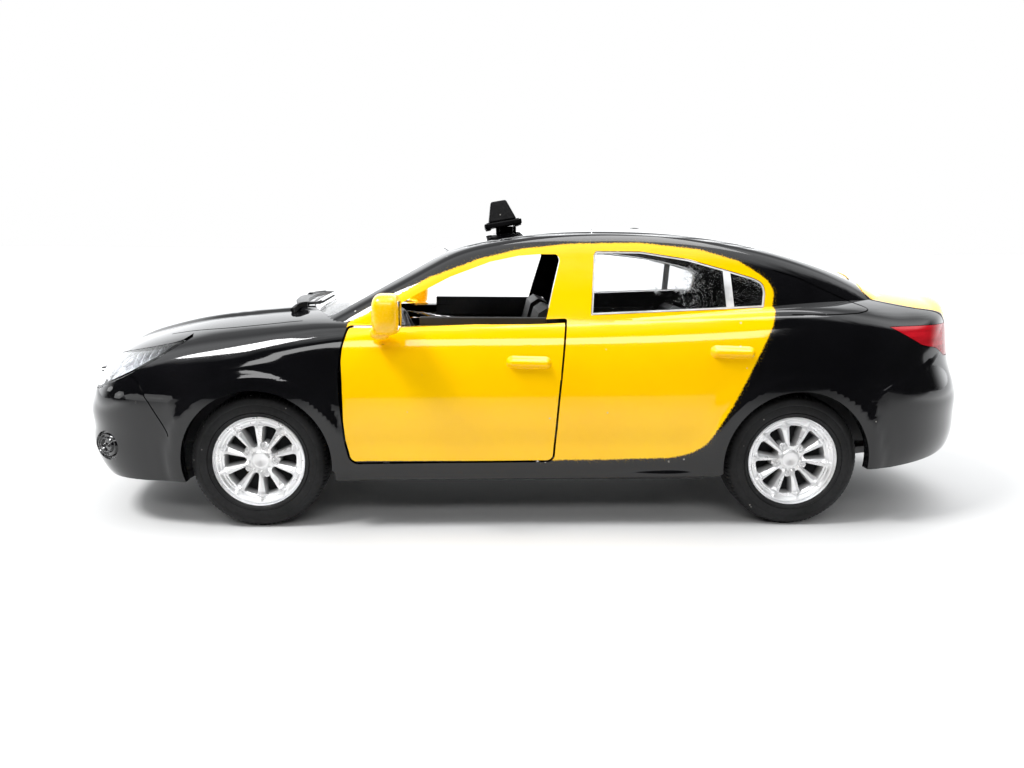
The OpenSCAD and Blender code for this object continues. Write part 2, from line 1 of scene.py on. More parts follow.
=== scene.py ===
import bpy
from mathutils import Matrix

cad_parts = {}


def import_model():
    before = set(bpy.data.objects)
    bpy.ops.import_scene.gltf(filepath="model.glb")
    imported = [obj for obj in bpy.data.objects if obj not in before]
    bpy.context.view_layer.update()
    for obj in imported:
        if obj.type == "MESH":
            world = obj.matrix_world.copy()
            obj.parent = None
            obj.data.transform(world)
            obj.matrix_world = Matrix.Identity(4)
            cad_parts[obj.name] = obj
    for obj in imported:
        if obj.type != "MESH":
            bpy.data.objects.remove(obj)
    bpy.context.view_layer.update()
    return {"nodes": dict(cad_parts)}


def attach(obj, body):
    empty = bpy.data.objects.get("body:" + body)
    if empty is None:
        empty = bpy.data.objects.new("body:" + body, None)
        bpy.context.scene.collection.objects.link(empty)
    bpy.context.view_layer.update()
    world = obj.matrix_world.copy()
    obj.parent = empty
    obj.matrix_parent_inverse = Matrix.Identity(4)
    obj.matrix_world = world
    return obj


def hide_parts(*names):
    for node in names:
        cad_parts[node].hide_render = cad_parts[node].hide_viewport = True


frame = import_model()
import bpy, bmesh, math
import numpy as np
from mathutils import Vector, Matrix

MM = 0.001
rng = np.random.RandomState(7)


# ---------------------------------------------------------------- curves
def spline(P):
    """Natural cubic spline through the points, straight beyond its ends."""
    P = np.array(P, float)
    x, y, n = P[:, 0], P[:, 1], len(P)
    A, B = np.eye(n), np.zeros(n)
    for i in range(1, n - 1):
        h0, h1 = x[i] - x[i - 1], x[i + 1] - x[i]
        A[i, i - 1], A[i, i], A[i, i + 1] = h0, 2 * (h0 + h1), h1
        B[i] = 6 * ((y[i + 1] - y[i]) / h1 - (y[i] - y[i - 1]) / h0)
    M = np.linalg.solve(A, B)
    s0 = (y[1] - y[0]) / (x[1] - x[0]) - M[1] * (x[1] - x[0]) / 6
    s1 = (y[-1] - y[-2]) / (x[-1] - x[-2]) + M[-2] * (x[-1] - x[-2]) / 6

    def f(q):
        q = np.asarray(q, float)
        i = np.clip(np.searchsorted(x, q, side="right") - 1, 0, n - 2)
        h = x[i + 1] - x[i]
        a, b = (x[i + 1] - q) / h, (q - x[i]) / h
        v = a * y[i] + b * y[i + 1] + ((a**3 - a) * M[i] + (b**3 - b) * M[i + 1]) * h * h / 6
        return np.where(q > x[-1], y[-1] + (q - x[-1]) * s1, np.where(q < x[0], y[0] + (q - x[0]) * s0, v))

    return f


def step3(t):
    q = np.clip(t, 0, 1)
    return q * q * (3 - 2 * q)


def smax(a, b, k):
    return np.maximum(a, b) + (np.maximum(k - np.abs(a - b), 0) / k) ** 3 * k / 6


AXF, AXR, TYRE_R = 39.0, -36.0, 9.45
DECK_MID = spline([[-72, 27.5], [-67, 30.6], [-62, 32.2], [-56, 33.2], [-50, 33.8], [-42, 33.4], [-30, 32], [-10, 31], [15, 30.7], [30, 30.6], [36, 30.3], [42, 29.7], [48, 28.8], [54, 27.3], [59, 25.7], [63.5, 23.9], [67, 22], [71, 19.5]])
DECK_SIDE = spline([[-70, 24], [-60, 26.4], [-53, 28], [-47, 29.8], [-40, 30.9], [-31, 30.8], [-20, 30.1], [-3, 29.3], [10, 28.8], [26, 28.3], [33, 27.8], [39, 26.9], [45, 25.8], [51, 24.6], [57, 23], [63, 20.6], [70, 17]])
SIDE = spline([[0, 22.6], [5, 24.2], [9, 24.85], [13, 25.2], [17, 25.4], [20, 25.35], [23, 25], [25, 24.5], [26.5, 23.95], [28, 23.2], [30, 22.4], [33, 21.3], [38, 19.5]])
RISE = spline([[-66, 3], [-47, 3.2], [-31, 2], [-2, 0.6], [27, 0], [48, -1], [66, -2]])
PLAN = spline([[-70, 0.76], [-62, 0.87], [-56, 0.93], [-50, 0.967], [-43, 0.99], [-34, 1], [-10, 1], [20, 1], [36, 1], [44, 0.99], [50, 0.972], [56, 0.94], [62, 0.885], [70, 0.79]])
NOSE = spline([[0, 58], [5, 64.4], [7, 66.4], [9, 67.4], [11, 67.8], [13, 67.6], [15, 67.8], [17, 67.5], [19, 66.8], [21, 65.7], [23, 64.3], [26, 61.8], [30, 58]])
TAIL = spline([[0, 57], [6, 62.7], [8, 65.3], [10, 67.1], [12, 67.75], [15, 67.8], [18, 67.8], [20, 67.2], [22, 66.4], [25, 65.7], [28, 65.2], [31, 64.6], [36, 63]])
ROUND = spline([[-70, 2.2], [-56, 2.6], [-46, 3], [-38, 1.6], [-28, 1.2], [0, 1.2], [26, 1.3], [36, 3.4], [46, 5], [60, 5], [70, 4]])
ROOF = spline([[-60, 30.4], [-56, 32.3], [-50, 35.2], [-41.5, 38.1], [-33, 40.1], [-26, 41.2], [-18, 41.9], [-9, 42.1], [0, 41.7], [8, 40.7], [14.6, 39.2], [20, 37], [26, 34.4], [34, 30.9], [38, 29], [44, 26]])
CABIN = spline([[-60, 14.5], [-50, 18], [-42, 20.2], [-33, 21.5], [-22, 22.3], [-10, 22.6], [5, 22.6], [18, 22.2], [27, 21.2], [34, 19.5], [44, 16]])
RIDGE = spline([[28, 14.6], [40, 13.6], [52, 11.6], [60, 9.6], [66, 7.5]])
BELT = spline([[-46, 30.2], [-31.5, 29.6], [-2.6, 28.35], [26, 27.2], [40, 26]])


def deck(x, y):
    q = y / 22.5
    c, s = DECK_MID(x), DECK_SIDE(x)
    z = c + (s - c) * (0.35 * q * q + 0.65 * q**4)
    # raised middle of the bonnet, between its two ridges
    z = z + 0.42 * step3((RIDGE(x) + 0.9 - np.abs(y)) / 1.5) * step3((x - 31) / 4) * step3((66 - x) / 8) - 0.1
    # the roof and boot keep their plain crown; a shallow lip ends the boot lid
    z = z + 0.35 * step3((-58.5 - x) / 3.0) * step3((18.5 - np.abs(y)) / 3)
    return z


def lip(x, z, ax):
    r = np.hypot(x - ax, z - TYRE_R)
    return (0.30 * step3((13.2 - r) / 1.5) + 0.1 * step3((15.5 - r) / 2.4)) * step3((z - 4) / 5)


def side(x, z):
    y = SIDE(z - RISE(x) * step3((z - 14) / 12)) * PLAN(x) + lip(x, z, AXF) + lip(x, z, AXR)
    # belt moulding: the skin steps in a little above it
    zb = BELT(x)
    y = y - 0.22 * step3((z - zb) / 0.35) * step3((x + 44) / 4) * step3((34 - x) / 4)
    # bumper creases: the skin steps in below the front one and out below the rear one
    y = y - 0.3 * step3((18.7 + 0.35 * np.maximum(x - 57, 0) - z) / 0.5) * step3((x - 49.5) / 2.5)
    y = y + 0.35 * step3((19.6 + 0.42 * np.maximum(-x - 46, 0) - z) / 0.6) * step3((-x - 45) / 2)
    # the sill stands out a touch below the doors
    y = y + 0.10 * step3((8.95 - 0.012 * (28 - x) - z) / 0.35) * step3((x + 26) / 9) * step3((31 - x) / 9)
    # a shallow valley runs along the doors, low down
    y = y - 0.18 * np.exp(-(((z - 12.2) / 1.6) ** 2)) * step3((x + 26) / 6) * step3((28 - x) / 5)
    return y


def f_lower(p):
    x, y, z = p[..., 0], np.abs(p[..., 1]), p[..., 2]
    fs = y - side(x, z)
    ff = x - NOSE(z) + 0.0095 * y**2 + 0.0000068 * y**4
    fr = -x - TAIL(z) + 0.0145 * y**2 + 0.000013 * y**4
    return smax(smax(fs, np.maximum(ff, fr), 8), z - deck(x, y), ROUND(x))


def f_cabin(p):
    x, y, z = p[..., 0], np.abs(p[..., 1]), p[..., 2]
    fs = y - CABIN(x) + 0.4 * np.maximum(z - 29, -0.5) + 0.006 * np.maximum(z - 29, 0) ** 2
    ft = z - ROOF(-9 + (x + 9) * (1 + 0.19 * y * y / 441)) + y * y / 306
    # two shallow channels along the roof, over the side windows
    ft = ft + 0.16 * np.exp(-(((y - 15.4) / 0.35) ** 2)) * step3((x + 34) / 4) * step3((13 - x) / 4)
    return smax(fs, ft, 3.2)


def grad(f, P, h=0.03):
    G = np.zeros_like(P)
    for i in range(3):
        d = np.zeros(3)
        d[i] = h
        G[:, i] = f(P + d) - f(P - d)
    return G / np.maximum(np.linalg.norm(G, axis=1), 1e-9)[:, None]


def cast(f, O, D, off, lo, hi, n=22):
    lo, hi = np.full(O.shape[:-1], float(lo)), np.full(O.shape[:-1], float(hi))
    for _ in range(n):
        m = (lo + hi) / 2
        out = f(O + D * m[..., None]) > -off
        hi, lo = np.where(out, m, hi), np.where(out, lo, m)
    return O + D * ((lo + hi) / 2)[..., None]


E_OUT = [78, 66, 56, 48, 42, 37.5, 34, 31.5, 29, 26.5, 24, 21.5, 19, 16, 12.5, 8.5, 4, -1, -7, -13, -19, -25, -31]
E_IN = [70, 52, 40, 33, 28, 23, 17, 8, -4, -18, -34]
E_ROOF = [76, 64, 54, 46, 40, 35, 30, 26, 22, 17, 11, 4]


def finer(E, k):
    E = np.array(E, float)
    return np.interp(np.linspace(0, len(E) - 1, (len(E) - 1) * k + 1), np.arange(len(E)), E)


def form(f, off, x0, x1, z0, n, k, E, zb, reach):
    """A closed skin made of rays from a spine along X, with fans at both ends. In millimetres."""
    st = [(x0, 0, 90 * i / k - 90) for i in range(k)] + [(x0 + (x1 - x0) * i / n, i, 0) for i in range(n + 1)] + [(x1, n, 90 * i / k) for i in range(1, k + 1)]
    ns, m = len(st), len(E)
    a = np.radians(np.array(E))[None, :]
    s = np.array([t[0] for t in st])[:, None] + 0 * a
    b = np.radians(np.array([t[2] for t in st]))[:, None] + 0 * a
    O = np.stack([s, 0 * s, 0 * s + z0], -1)
    D = np.stack([np.sin(b) * np.cos(a), np.cos(b) * np.cos(a), np.sin(a) + 0 * b], -1)
    half = cast(f, O, D, off, 1, reach)
    xs = x0 + (x1 - x0) * np.arange(n + 1) / n
    O2 = np.stack([xs, 0 * xs, 0 * xs + z0], -1)
    top = cast(f, O2, np.broadcast_to(np.array([0.0, 0, 1]), O2.shape), off, 1, reach)
    low = np.stack([xs, 0 * xs, 0 * xs + zb], -1)
    ring = [(i, 1) for i in range(ns)] + [(i, -1) for i in range(ns - 2, 0, -1)]
    nr = len(ring)
    side_pts = np.concatenate([half[i] * np.array([1, s_, 1]) for i, s_ in ring])
    V = np.concatenate([top, low, side_pts])

    def ix(r, j):
        c = st[ring[r % nr][0]][1]
        return c if j < 0 else (n + 1 + c if j >= m else 2 * (n + 1) + (r % nr) * m + j)

    F = []
    for r in range(nr):
        for j in range(-1, m):
            q = [ix(r, j), ix(r + 1, j), ix(r + 1, j + 1), ix(r, j + 1)]
            q = [v for i, v in enumerate(q) if v != q[i - 1]]
            if len(q) >= 3:
                F.append(q)
    return V, F


# ---------------------------------------------------------------- meshes
def new_object(name, V, F):
    me = bpy.data.meshes.new(name)
    me.from_pydata([tuple(v) for v in np.asarray(V, float)], [], [list(map(int, f)) for f in F])
    me.validate()
    o = bpy.data.objects.new(name, me)
    bpy.context.scene.collection.objects.link(o)
    return o


def outward(o):
    bm = bmesh.new()
    bm.from_mesh(o.data)
    bmesh.ops.recalc_face_normals(bm, faces=bm.faces)
    if bm.calc_volume(signed=True) < 0:
        bmesh.ops.reverse_faces(bm, faces=bm.faces)
    bm.to_mesh(o.data)
    bm.free()
    return o


def boolean(a, b, op="DIFFERENCE", keep=False):
    m = a.modifiers.new("b", "BOOLEAN")
    m.operation, m.object, m.solver = op, b, "MANIFOLD"
    bpy.context.view_layer.update()
    dg = bpy.context.evaluated_depsgraph_get()
    me = bpy.data.meshes.new_from_object(a.evaluated_get(dg))
    old = a.data
    a.modifiers.clear()
    a.data = me
    bpy.data.meshes.remove(old)
    if not keep:
        bpy.data.objects.remove(b)
    return a


def copy(o, name="c"):
    c = bpy.data.objects.new(name, o.data.copy())
    bpy.context.scene.collection.objects.link(c)
    return c


def prism(poly, axis, lo, hi):
    """Polygon pushed along an axis. 'y' takes (x, z) points, 'z' takes (x, y), 'x' takes (y, z)."""
    poly = np.array(poly, float)
    n = len(poly)
    P = {"y": lambda v: np.stack([poly[:, 0], 0 * poly[:, 0] + v, poly[:, 1]], -1), "z": lambda v: np.stack([poly[:, 0], poly[:, 1], 0 * poly[:, 0] + v], -1), "x": lambda v: np.stack([0 * poly[:, 0] + v, poly[:, 0], poly[:, 1]], -1)}[axis]
    V = np.concatenate([P(lo), P(hi)])
    F = [list(range(n))[::-1], list(range(n, 2 * n))] + [[i, (i + 1) % n, n + (i + 1) % n, n + i] for i in range(n)]
    o = new_object("prism", V, F)
    bm = bmesh.new()
    bm.from_mesh(o.data)
    bmesh.ops.triangulate(bm, faces=[f for f in bm.faces if len(f.verts) > 4])
    bm.to_mesh(o.data)
    bm.free()
    return outward(o)


def smooth_poly(poly, closed=True, steps=6, keep=()):
    """Catmull-Rom through the points."""
    P = np.array(poly, float)
    n = len(P)
    out = []
    for i in range(n if closed else n - 1):
        if closed:
            a, b, c, d = P[(i - 1) % n], P[i], P[(i + 1) % n], P[(i + 2) % n]
        else:
            a, b, c, d = P[max(i - 1, 0)], P[i], P[i + 1], P[min(i + 2, n - 1)]
        for t in np.arange(steps) / steps:
            out.append(0.5 * ((2 * b) + (c - a) * t + (2 * a - 5 * b + 4 * c - d) * t * t + (-a + 3 * b - 3 * c + d) * t**3))
    if not closed:
        out.append(P[-1])
    return np.array(out)


def round_poly(poly, r, steps=5):
    """Corners rounded to about radius r (a number, or one per corner)."""
    P = np.array(poly, float)
    n = len(P)
    rr = [r] * n if np.isscalar(r) else list(r)
    out = []
    for i in range(n):
        a, b, c = P[i - 1], P[i], P[(i + 1) % n]
        u, v = a - b, c - b
        lu, lv = np.linalg.norm(u), np.linalg.norm(v)
        d = min(rr[i], 0.45 * lu, 0.45 * lv)
        if d < 1e-6:
            out.append(b)
            continue
        p, q = b + u / lu * d, b + v / lv * d
        for t in np.linspace(0, 1, steps + 1):
            out.append((1 - t) ** 2 * p + 2 * t * (1 - t) * b + t * t * q)
    return np.array(out)


def grow(poly, d):
    """Offset of a polygon, outwards for positive d."""
    P = np.array(poly, float)
    n = len(P)
    area = 0.5 * np.sum(P[:, 0] * np.roll(P[:, 1], -1) - np.roll(P[:, 0], -1) * P[:, 1])
    s = 1 if area > 0 else -1
    T = np.roll(P, -1, 0) - P
    L = np.linalg.norm(T, axis=1)
    P, T, L = P[L > 1e-6], T[L > 1e-6], L[L > 1e-6]
    N = s * np.stack([T[:, 1], -T[:, 0]], 1) / L[:, None]
    M = N + np.roll(N, 1, 0)
    M /= np.maximum(np.sum(M * np.roll(N, 1, 0), 1), 0.3)[:, None]
    return P + d * M


def disc(x, z, r, y0, y1, n=160):
    a = np.linspace(0, 2 * np.pi, n, endpoint=False)
    return prism(np.stack([x + r * np.cos(a), z + r * np.sin(a)], 1), "y", y0, y1)


def block(x0, x1, y0, y1, z0, z1, bevel=0.0, seg=2, name="block"):
    V = [(x, y, z) for x in (x0, x1) for y in (y0, y1) for z in (z0, z1)]
    F = [(0, 1, 3, 2), (4, 6, 7, 5), (0, 4, 5, 1), (2, 3, 7, 6), (0, 2, 6, 4), (1, 5, 7, 3)]
    o = new_object(name, V, F)
    if bevel:
        soften(o, bevel, seg)
    return outward(o)


def soften(o, w, seg=2, angle=30):
    bm = bmesh.new()
    bm.from_mesh(o.data)
    E = [e for e in bm.edges if e.is_manifold and e.calc_face_angle(0) > math.radians(angle)]
    bmesh.ops.bevel(bm, geom=E, offset=w, segments=seg, affect="EDGES", profile=0.5, clamp_overlap=True)
    bm.to_mesh(o.data)
    bm.free()
    return o


def join(name, objs):
    bm = bmesh.new()
    for o in objs:
        me = o.data
        if o.matrix_world != Matrix.Identity(4):
            me.transform(o.matrix_world)
        bm.from_mesh(me)
    me = bpy.data.meshes.new(name)
    bm.to_mesh(me)
    bm.free()
    for o in objs:
        bpy.data.objects.remove(o)
    r = bpy.data.objects.new(name, me)
    bpy.context.scene.collection.objects.link(r)
    return r


def flipped(o, name):
    """The same piece on the other side of the car."""
    me = o.data.copy()
    me.transform(Matrix.Scale(-1, 4, (0, 1, 0)))
    me.flip_normals()
    c = bpy.data.objects.new(name, me)
    bpy.context.scene.collection.objects.link(c)
    return c


def arrays(me):
    V = np.zeros(len(me.vertices) * 3)
    me.vertices.foreach_get("co", V)
    return V.reshape(-1, 3)


def set_float(o, name, values):
    a = o.data.attributes.get(name) or o.data.attributes.new(name, "FLOAT", "POINT")
    a.data.foreach_set("value", np.asarray(values, np.float32))


def fair(o, fs, angle=32, tol=0.14):
    """Shading normals: from the true surface on skin faces, by angle elsewhere. In millimetres."""
    me = o.data
    V = arrays(me)
    npoly = len(me.polygons)
    C, N = np.zeros(npoly * 3), np.zeros(npoly * 3)
    me.polygons.foreach_get("center", C)
    me.polygons.foreach_get("normal", N)
    C, N = C.reshape(-1, 3), N.reshape(-1, 3)
    start, total = np.zeros(npoly, np.int32), np.zeros(npoly, np.int32)
    me.polygons.foreach_get("loop_start", start)
    me.polygons.foreach_get("loop_total", total)
    lv = np.zeros(len(me.loops), np.int32)
    me.loops.foreach_get("vertex_index", lv)
    lp = np.repeat(np.arange(npoly), total)
    me.polygons.foreach_set("use_smooth", np.ones(npoly, bool))
    # by angle: average over neighbouring faces at the vertex that turn less than the limit
    area = np.zeros(npoly)
    me.polygons.foreach_get("area", area)
    order = np.argsort(lv, kind="stable")
    LN = N[lp].copy()
    cosl = math.cos(math.radians(angle))
    bounds_ = np.searchsorted(lv[order], np.arange(len(V) + 1))
    for v in range(len(V)):
        ls = order[bounds_[v] : bounds_[v + 1]]
        if len(ls) < 2:
            continue
        n = N[lp[ls]]
        w = (n @ n.T > cosl) * (area[lp[ls]] + 1e-9)[None, :]
        a = w @ n
        l = np.linalg.norm(a, axis=1)
        ok = l > 1e-12
        LN[ls[ok]] = a[ok] / l[ok][:, None]
    for f, off in fs:
        d = np.abs(f(C) + off)
        near = np.where(d < tol + 0.02 * np.sqrt(np.maximum(area, 0)))[0]
        if len(near) == 0:
            continue
        G = grad(f, C[near])
        s = np.sum(G * N[near], 1)
        near = near[np.abs(s) > 0.82]
        sg = np.sign(s[np.abs(s) > 0.82])
        mark = np.zeros(npoly)
        mark[near] = sg
        loops = np.where(mark[lp] != 0)[0]
        LN[loops] = grad(f, V[lv[loops]]) * mark[lp[loops]][:, None]
    me.normals_split_custom_set([tuple(n) for n in LN])
    return o


def auto_smooth(o, angle=32):
    return fair(o, [], angle)


def done(o, name, body, mat, replaces=()):
    """Millimetres to metres, then onto its body."""
    o.name = name
    o.data.name = name
    V = arrays(o.data)
    o.data.vertices.foreach_set("co", (V * MM).astype(np.float32).ravel())
    o.data.update()
    o.data.materials.clear()
    for m in mat if isinstance(mat, (list, tuple)) else [mat]:
        o.data.materials.append(m)
    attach(o, body)
    if replaces:
        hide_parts(*([replaces] if isinstance(replaces, str) else replaces))
    return o


# ---------------------------------------------------------------- outlines, (x, z) from the side
DOOR = [[26.3, 28.0], [27.0, 25.4], [27.3, 22], [27.2, 18.5], [26.7, 13], [26.1, 10.3], [25.4, 9.7], [-1.2, 9.95], [-1.7, 10.4], [-2.3, 18.5], [-2.9, 25], [-3.3, 29.15], [18.5, 28.15]]
FRONT_GLASS = [[23.4, 28.9], [18.9, 28.0], [-0.7, 29.2], [-1.7, 33.3], [-2.8, 37.4], [-2.4, 38.1], [0, 38.1], [3, 37.85], [7, 37.0], [12.6, 34.9], [17.2, 32.5]]
REAR_GLASS = [[-6.9, 29.85], [-7.6, 38.1], [-7.9, 38.6], [-14.3, 38.6], [-21, 37.6], [-27, 36.0], [-30.5, 35.0], [-31.75, 34.3], [-32.0, 33.0], [-31.6, 30.95]]
SCREEN = [[34.9, 0], [34.3, 8], [32.2, 14], [29.8, 18.2], [28.4, 18.7], [24, 17.9], [18.5, 16.5], [13.6, 14.9], [12.9, 14.0], [14.0, 8], [14.4, 0]]
BACKLIGHT = [[-30.5, 0], [-30, 8], [-28.8, 13.6], [-29.6, 14.6], [-38, 15.2], [-45.4, 15.2], [-46.6, 14.2], [-48.6, 8], [-49.3, 0]]
HEADLIGHT = [[49.2, 25.9], [52.5, 23.6], [56.3, 21.5], [62, 18.9], [70, 17.6], [70, 21.2], [64, 22.6], [58, 24.1]]
TAIL_LIGHT = [[-48.6, 28.6], [-54, 25.9], [-57.4, 25.2], [-59.6, 23.9], [-70, 23.5], [-70, 28], [-62, 28.6]]
UNDER = [[80, -20], [80, 6.6], [60, 6.5], [AXF + 8, 6.7], [AXF, 6.7], [AXF, 8.5], [28.5, 8.5], [28.3, 8.2], [28.2, 7.03], [-24.6, 7.56], [-25.5, 7.75], [-26.2, 8.5], [AXR, 8.5], [-50, 8.6], [-58, 9.3], [-64, 10.2], [-80, 11.2], [-80, -20]]
HINGE = (21.5, 23.2)
PAINT_SIDE = [[0.6, 9.85], [-10, 10.0], [-18.5, 10.25], [-21.2, 10.9], [-23.3, 12.3], [-26.9, 18.5], [-30.3, 25.5], [-31.7, 28.1], [-32.9, 31.4], [-33.3, 33.2], [-32.6, 34.6], [-31.2, 35.7], [-28.5, 37.4], [-22.8, 39.0], [-14.2, 39.85], [-4.3, 39.65], [2.8, 38.85], [8.4, 37.5], [15.4, 34.9], [19.5, 32.8], [24.4, 30.2], [26.8, 28.5], [26.3, 27.6], [10, 20], [1, 14]]
PAINT_BOOT = [[-46.9, 0], [-46.9, 16.2], [-50, 17.0], [-56, 17.0], [-60, 16.2], [-66, 15.6], [-66, 0], [-66, -15.6], [-60, -16.2], [-56, -17], [-50, -17], [-46.9, -16.2]]


def mirrored(poly):
    P = np.array(poly, float)
    Q = P[::-1] * np.array([1, -1])
    return np.concatenate([P, Q[1:-1]])


def sdf(P, poly):
    """Distance to a polygon's edge, positive inside."""
    A = np.array(poly, float)
    B = np.roll(A, -1, 0)
    best = np.full(len(P), 1e9)
    odd = np.zeros(len(P), bool)
    for a, b in zip(A, B):
        e = b - a
        w = P - a
        t = np.clip((w @ e) / max(e @ e, 1e-12), 0, 1)
        best = np.minimum(best, np.hypot(*(w - t[:, None] * e).T))
        c = (a[1] > P[:, 1]) != (b[1] > P[:, 1])
        with np.errstate(divide="ignore", invalid="ignore"):
            xi = a[0] + (P[:, 1] - a[1]) * (b[0] - a[0]) / (b[1] - a[1])
        odd ^= c & (P[:, 0] < xi)
    return np.where(odd, best, -best)


def paint_value(V):
    s = sdf(V[:, [0, 2]], round_poly(PAINT_SIDE, 0.6))
    s = np.minimum(s, (np.abs(V[:, 1]) - 13) * 2)
    b = np.minimum(sdf(V[:, [0, 1]], round_poly(PAINT_BOOT, 2.0)), V[:, 2] - 29.0)
    depth = np.minimum(f_lower(V), f_cabin(V))
    return np.clip(np.minimum(np.maximum(s, b), (depth + 0.5) * 4), -3, 3)


# ---------------------------------------------------------------- materials
class Mat:
    """Small helper round a Principled material's nodes."""

    def __init__(self, name, color=(0.5, 0.5, 0.5), rough=0.5, metal=0.0, **kw):
        self.m = bpy.data.materials.new(name)
        self.m.use_nodes = True
        self.t = self.m.node_tree
        self.b = self.t.nodes["Principled BSDF"]
        self.set("Base Color", (*color, 1))
        self.set("Roughness", rough)
        self.set("Metallic", metal)
        for k, v in kw.items():
            self.set({"coat": "Coat Weight", "coat_rough": "Coat Roughness", "ior": "IOR", "trans": "Transmission Weight", "spec": "Specular IOR Level", "sheen": "Sheen Weight", "sub": "Subsurface Weight", "aniso": "Anisotropic"}[k], v)
        self.co = None

    def set(self, k, v):
        self.b.inputs[k].default_value = v

    def n(self, kind, **kw):
        x = self.t.nodes.new("ShaderNode" + kind)
        for k, v in kw.items():
            if k in x.inputs:
                x.inputs[k].default_value = v
            else:
                setattr(x, k, v)
        return x

    def l(self, a, b):
        self.t.links.new(a, b)

    def coords(self):
        if self.co is None:
            self.co = self.n("TexCoord").outputs["Object"]
        return self.co

    def noise(self, scale, detail=4, rough=0.55, dist=0.0, stretch=None):
        x = self.n("TexNoise")
        x.inputs["Scale"].default_value = scale
        x.inputs["Detail"].default_value = detail
        x.inputs["Roughness"].default_value = rough
        x.inputs["Distortion"].default_value = dist
        src = self.coords()
        if stretch:
            mp = self.n("Mapping")
            mp.inputs["Scale"].default_value = stretch
            self.l(src, mp.inputs["Vector"])
            src = mp.outputs[0]
        self.l(src, x.inputs["Vector"])
        return x.outputs["Fac"]

    def voronoi(self, scale, feature="F1", rnd=1.0):
        x = self.n("TexVoronoi")
        x.feature = feature
        x.inputs["Scale"].default_value = scale
        x.inputs["Randomness"].default_value = rnd
        self.l(self.coords(), x.inputs["Vector"])
        return x.outputs["Distance"]

    def ramp(self, src, a, b, lo=0.0, hi=1.0, smooth=True):
        x = self.n("MapRange")
        x.interpolation_type = "SMOOTHSTEP" if smooth else "LINEAR"
        x.inputs["From Min"].default_value = a
        x.inputs["From Max"].default_value = b
        x.inputs["To Min"].default_value = lo
        x.inputs["To Max"].default_value = hi
        self.l(src, x.inputs["Value"])
        return x.outputs["Result"]

    def math(self, op, a, b=None):
        x = self.n("Math")
        x.operation = op
        for i, v in enumerate((a, b)):
            if v is None:
                continue
            if isinstance(v, (int, float)):
                x.inputs[i].default_value = v
            else:
                self.l(v, x.inputs[i])
        return x.outputs[0]

    def mix(self, fac, a, b):
        x = self.n("Mix")
        x.data_type = "RGBA"
        for i, v in (("A", a), ("B", b)):
            s = [q for q in x.inputs if q.name == i and q.type == "RGBA"][0]
            if isinstance(v, tuple):
                s.default_value = (*v, 1)
            else:
                self.l(v, s)
        self.l(fac, x.inputs[0])
        return [q for q in x.outputs if q.type == "RGBA"][0]

    def attr(self, name):
        x = self.n("Attribute")
        x.attribute_name = name
        return x.outputs["Fac"]

    def bump(self, h, strength=0.3, dist=0.00005):
        x = self.n("Bump")
        x.inputs["Strength"].default_value = strength
        x.inputs["Distance"].default_value = dist
        if self.b.inputs["Normal"].links:
            self.l(self.b.inputs["Normal"].links[0].from_socket, x.inputs["Normal"])
        self.l(h, x.inputs["Height"])
        self.l(x.outputs[0], self.b.inputs["Normal"])
        return self

    def to(self, name, src):
        self.l(src, self.b.inputs[name])
        return self


YELLOW = (1.0, 0.565, 0.0)


def paint_mat(name, mode):
    """mode: body (black with the yellow areas), yellow."""
    m = Mat(name, (0.003, 0.003, 0.004), 0.09, ior=1.52, coat=0.6, coat_rough=0.04, spec=0.18)
    fine, mid, big = m.noise(5200, 2), m.noise(900, 4), m.noise(70, 3)
    specks = m.ramp(m.voronoi(420), 0.055, 0.085, 1, 0)
    specks = m.math("MULTIPLY", specks, m.ramp(m.noise(260, 2), 0.60, 0.64))
    lint = m.ramp(m.noise(150, 2, 0.5, 4.0, (1, 1, 6)), 0.7, 0.72)
    y_var = m.mix(m.ramp(big, 0.3, 0.7), (1.0, 0.575, 0.0), (0.98, 0.54, 0.0))
    if mode == "body":
        p = m.attr("paint")
        edge = m.math("ADD", p, m.math("MULTIPLY", m.math("SUBTRACT", mid, 0.5), 0.14))
        edge = m.math("ADD", edge, m.math("MULTIPLY", m.math("SUBTRACT", fine, 0.5), 0.42))
        yel = m.ramp(edge, -0.08, 0.2)
        dark = m.mix(m.ramp(big, 0.35, 0.7), (0.0022, 0.0022, 0.0028), (0.0042, 0.0042, 0.005))
        dots = m.math("MULTIPLY", m.ramp(fine, 0.56, 0.66), m.ramp(p, -0.75, 0.0))
        worn = m.mix(m.math("MULTIPLY", dots, 0.35), dark, (0.30, 0.20, 0.0))
        col = m.mix(yel, worn, y_var)
        rough = m.ramp(mid, 0.3, 0.75, 0.06, 0.11)
    else:
        col = y_var
        rough = m.ramp(mid, 0.3, 0.75, 0.10, 0.17)
    col = m.mix(m.math("MULTIPLY", specks, 0.55), col, (0.55, 0.53, 0.48))
    m.to("Base Color", col)
    m.to("Roughness", m.math("ADD", rough, m.math("MULTIPLY", specks, 0.4)))
    m.bump(m.noise(420, 2), 0.10, 0.00002)
    m.bump(m.noise(110, 2), 0.16, 0.00006)
    m.bump(specks, 0.4, 0.00003)
    return m.m


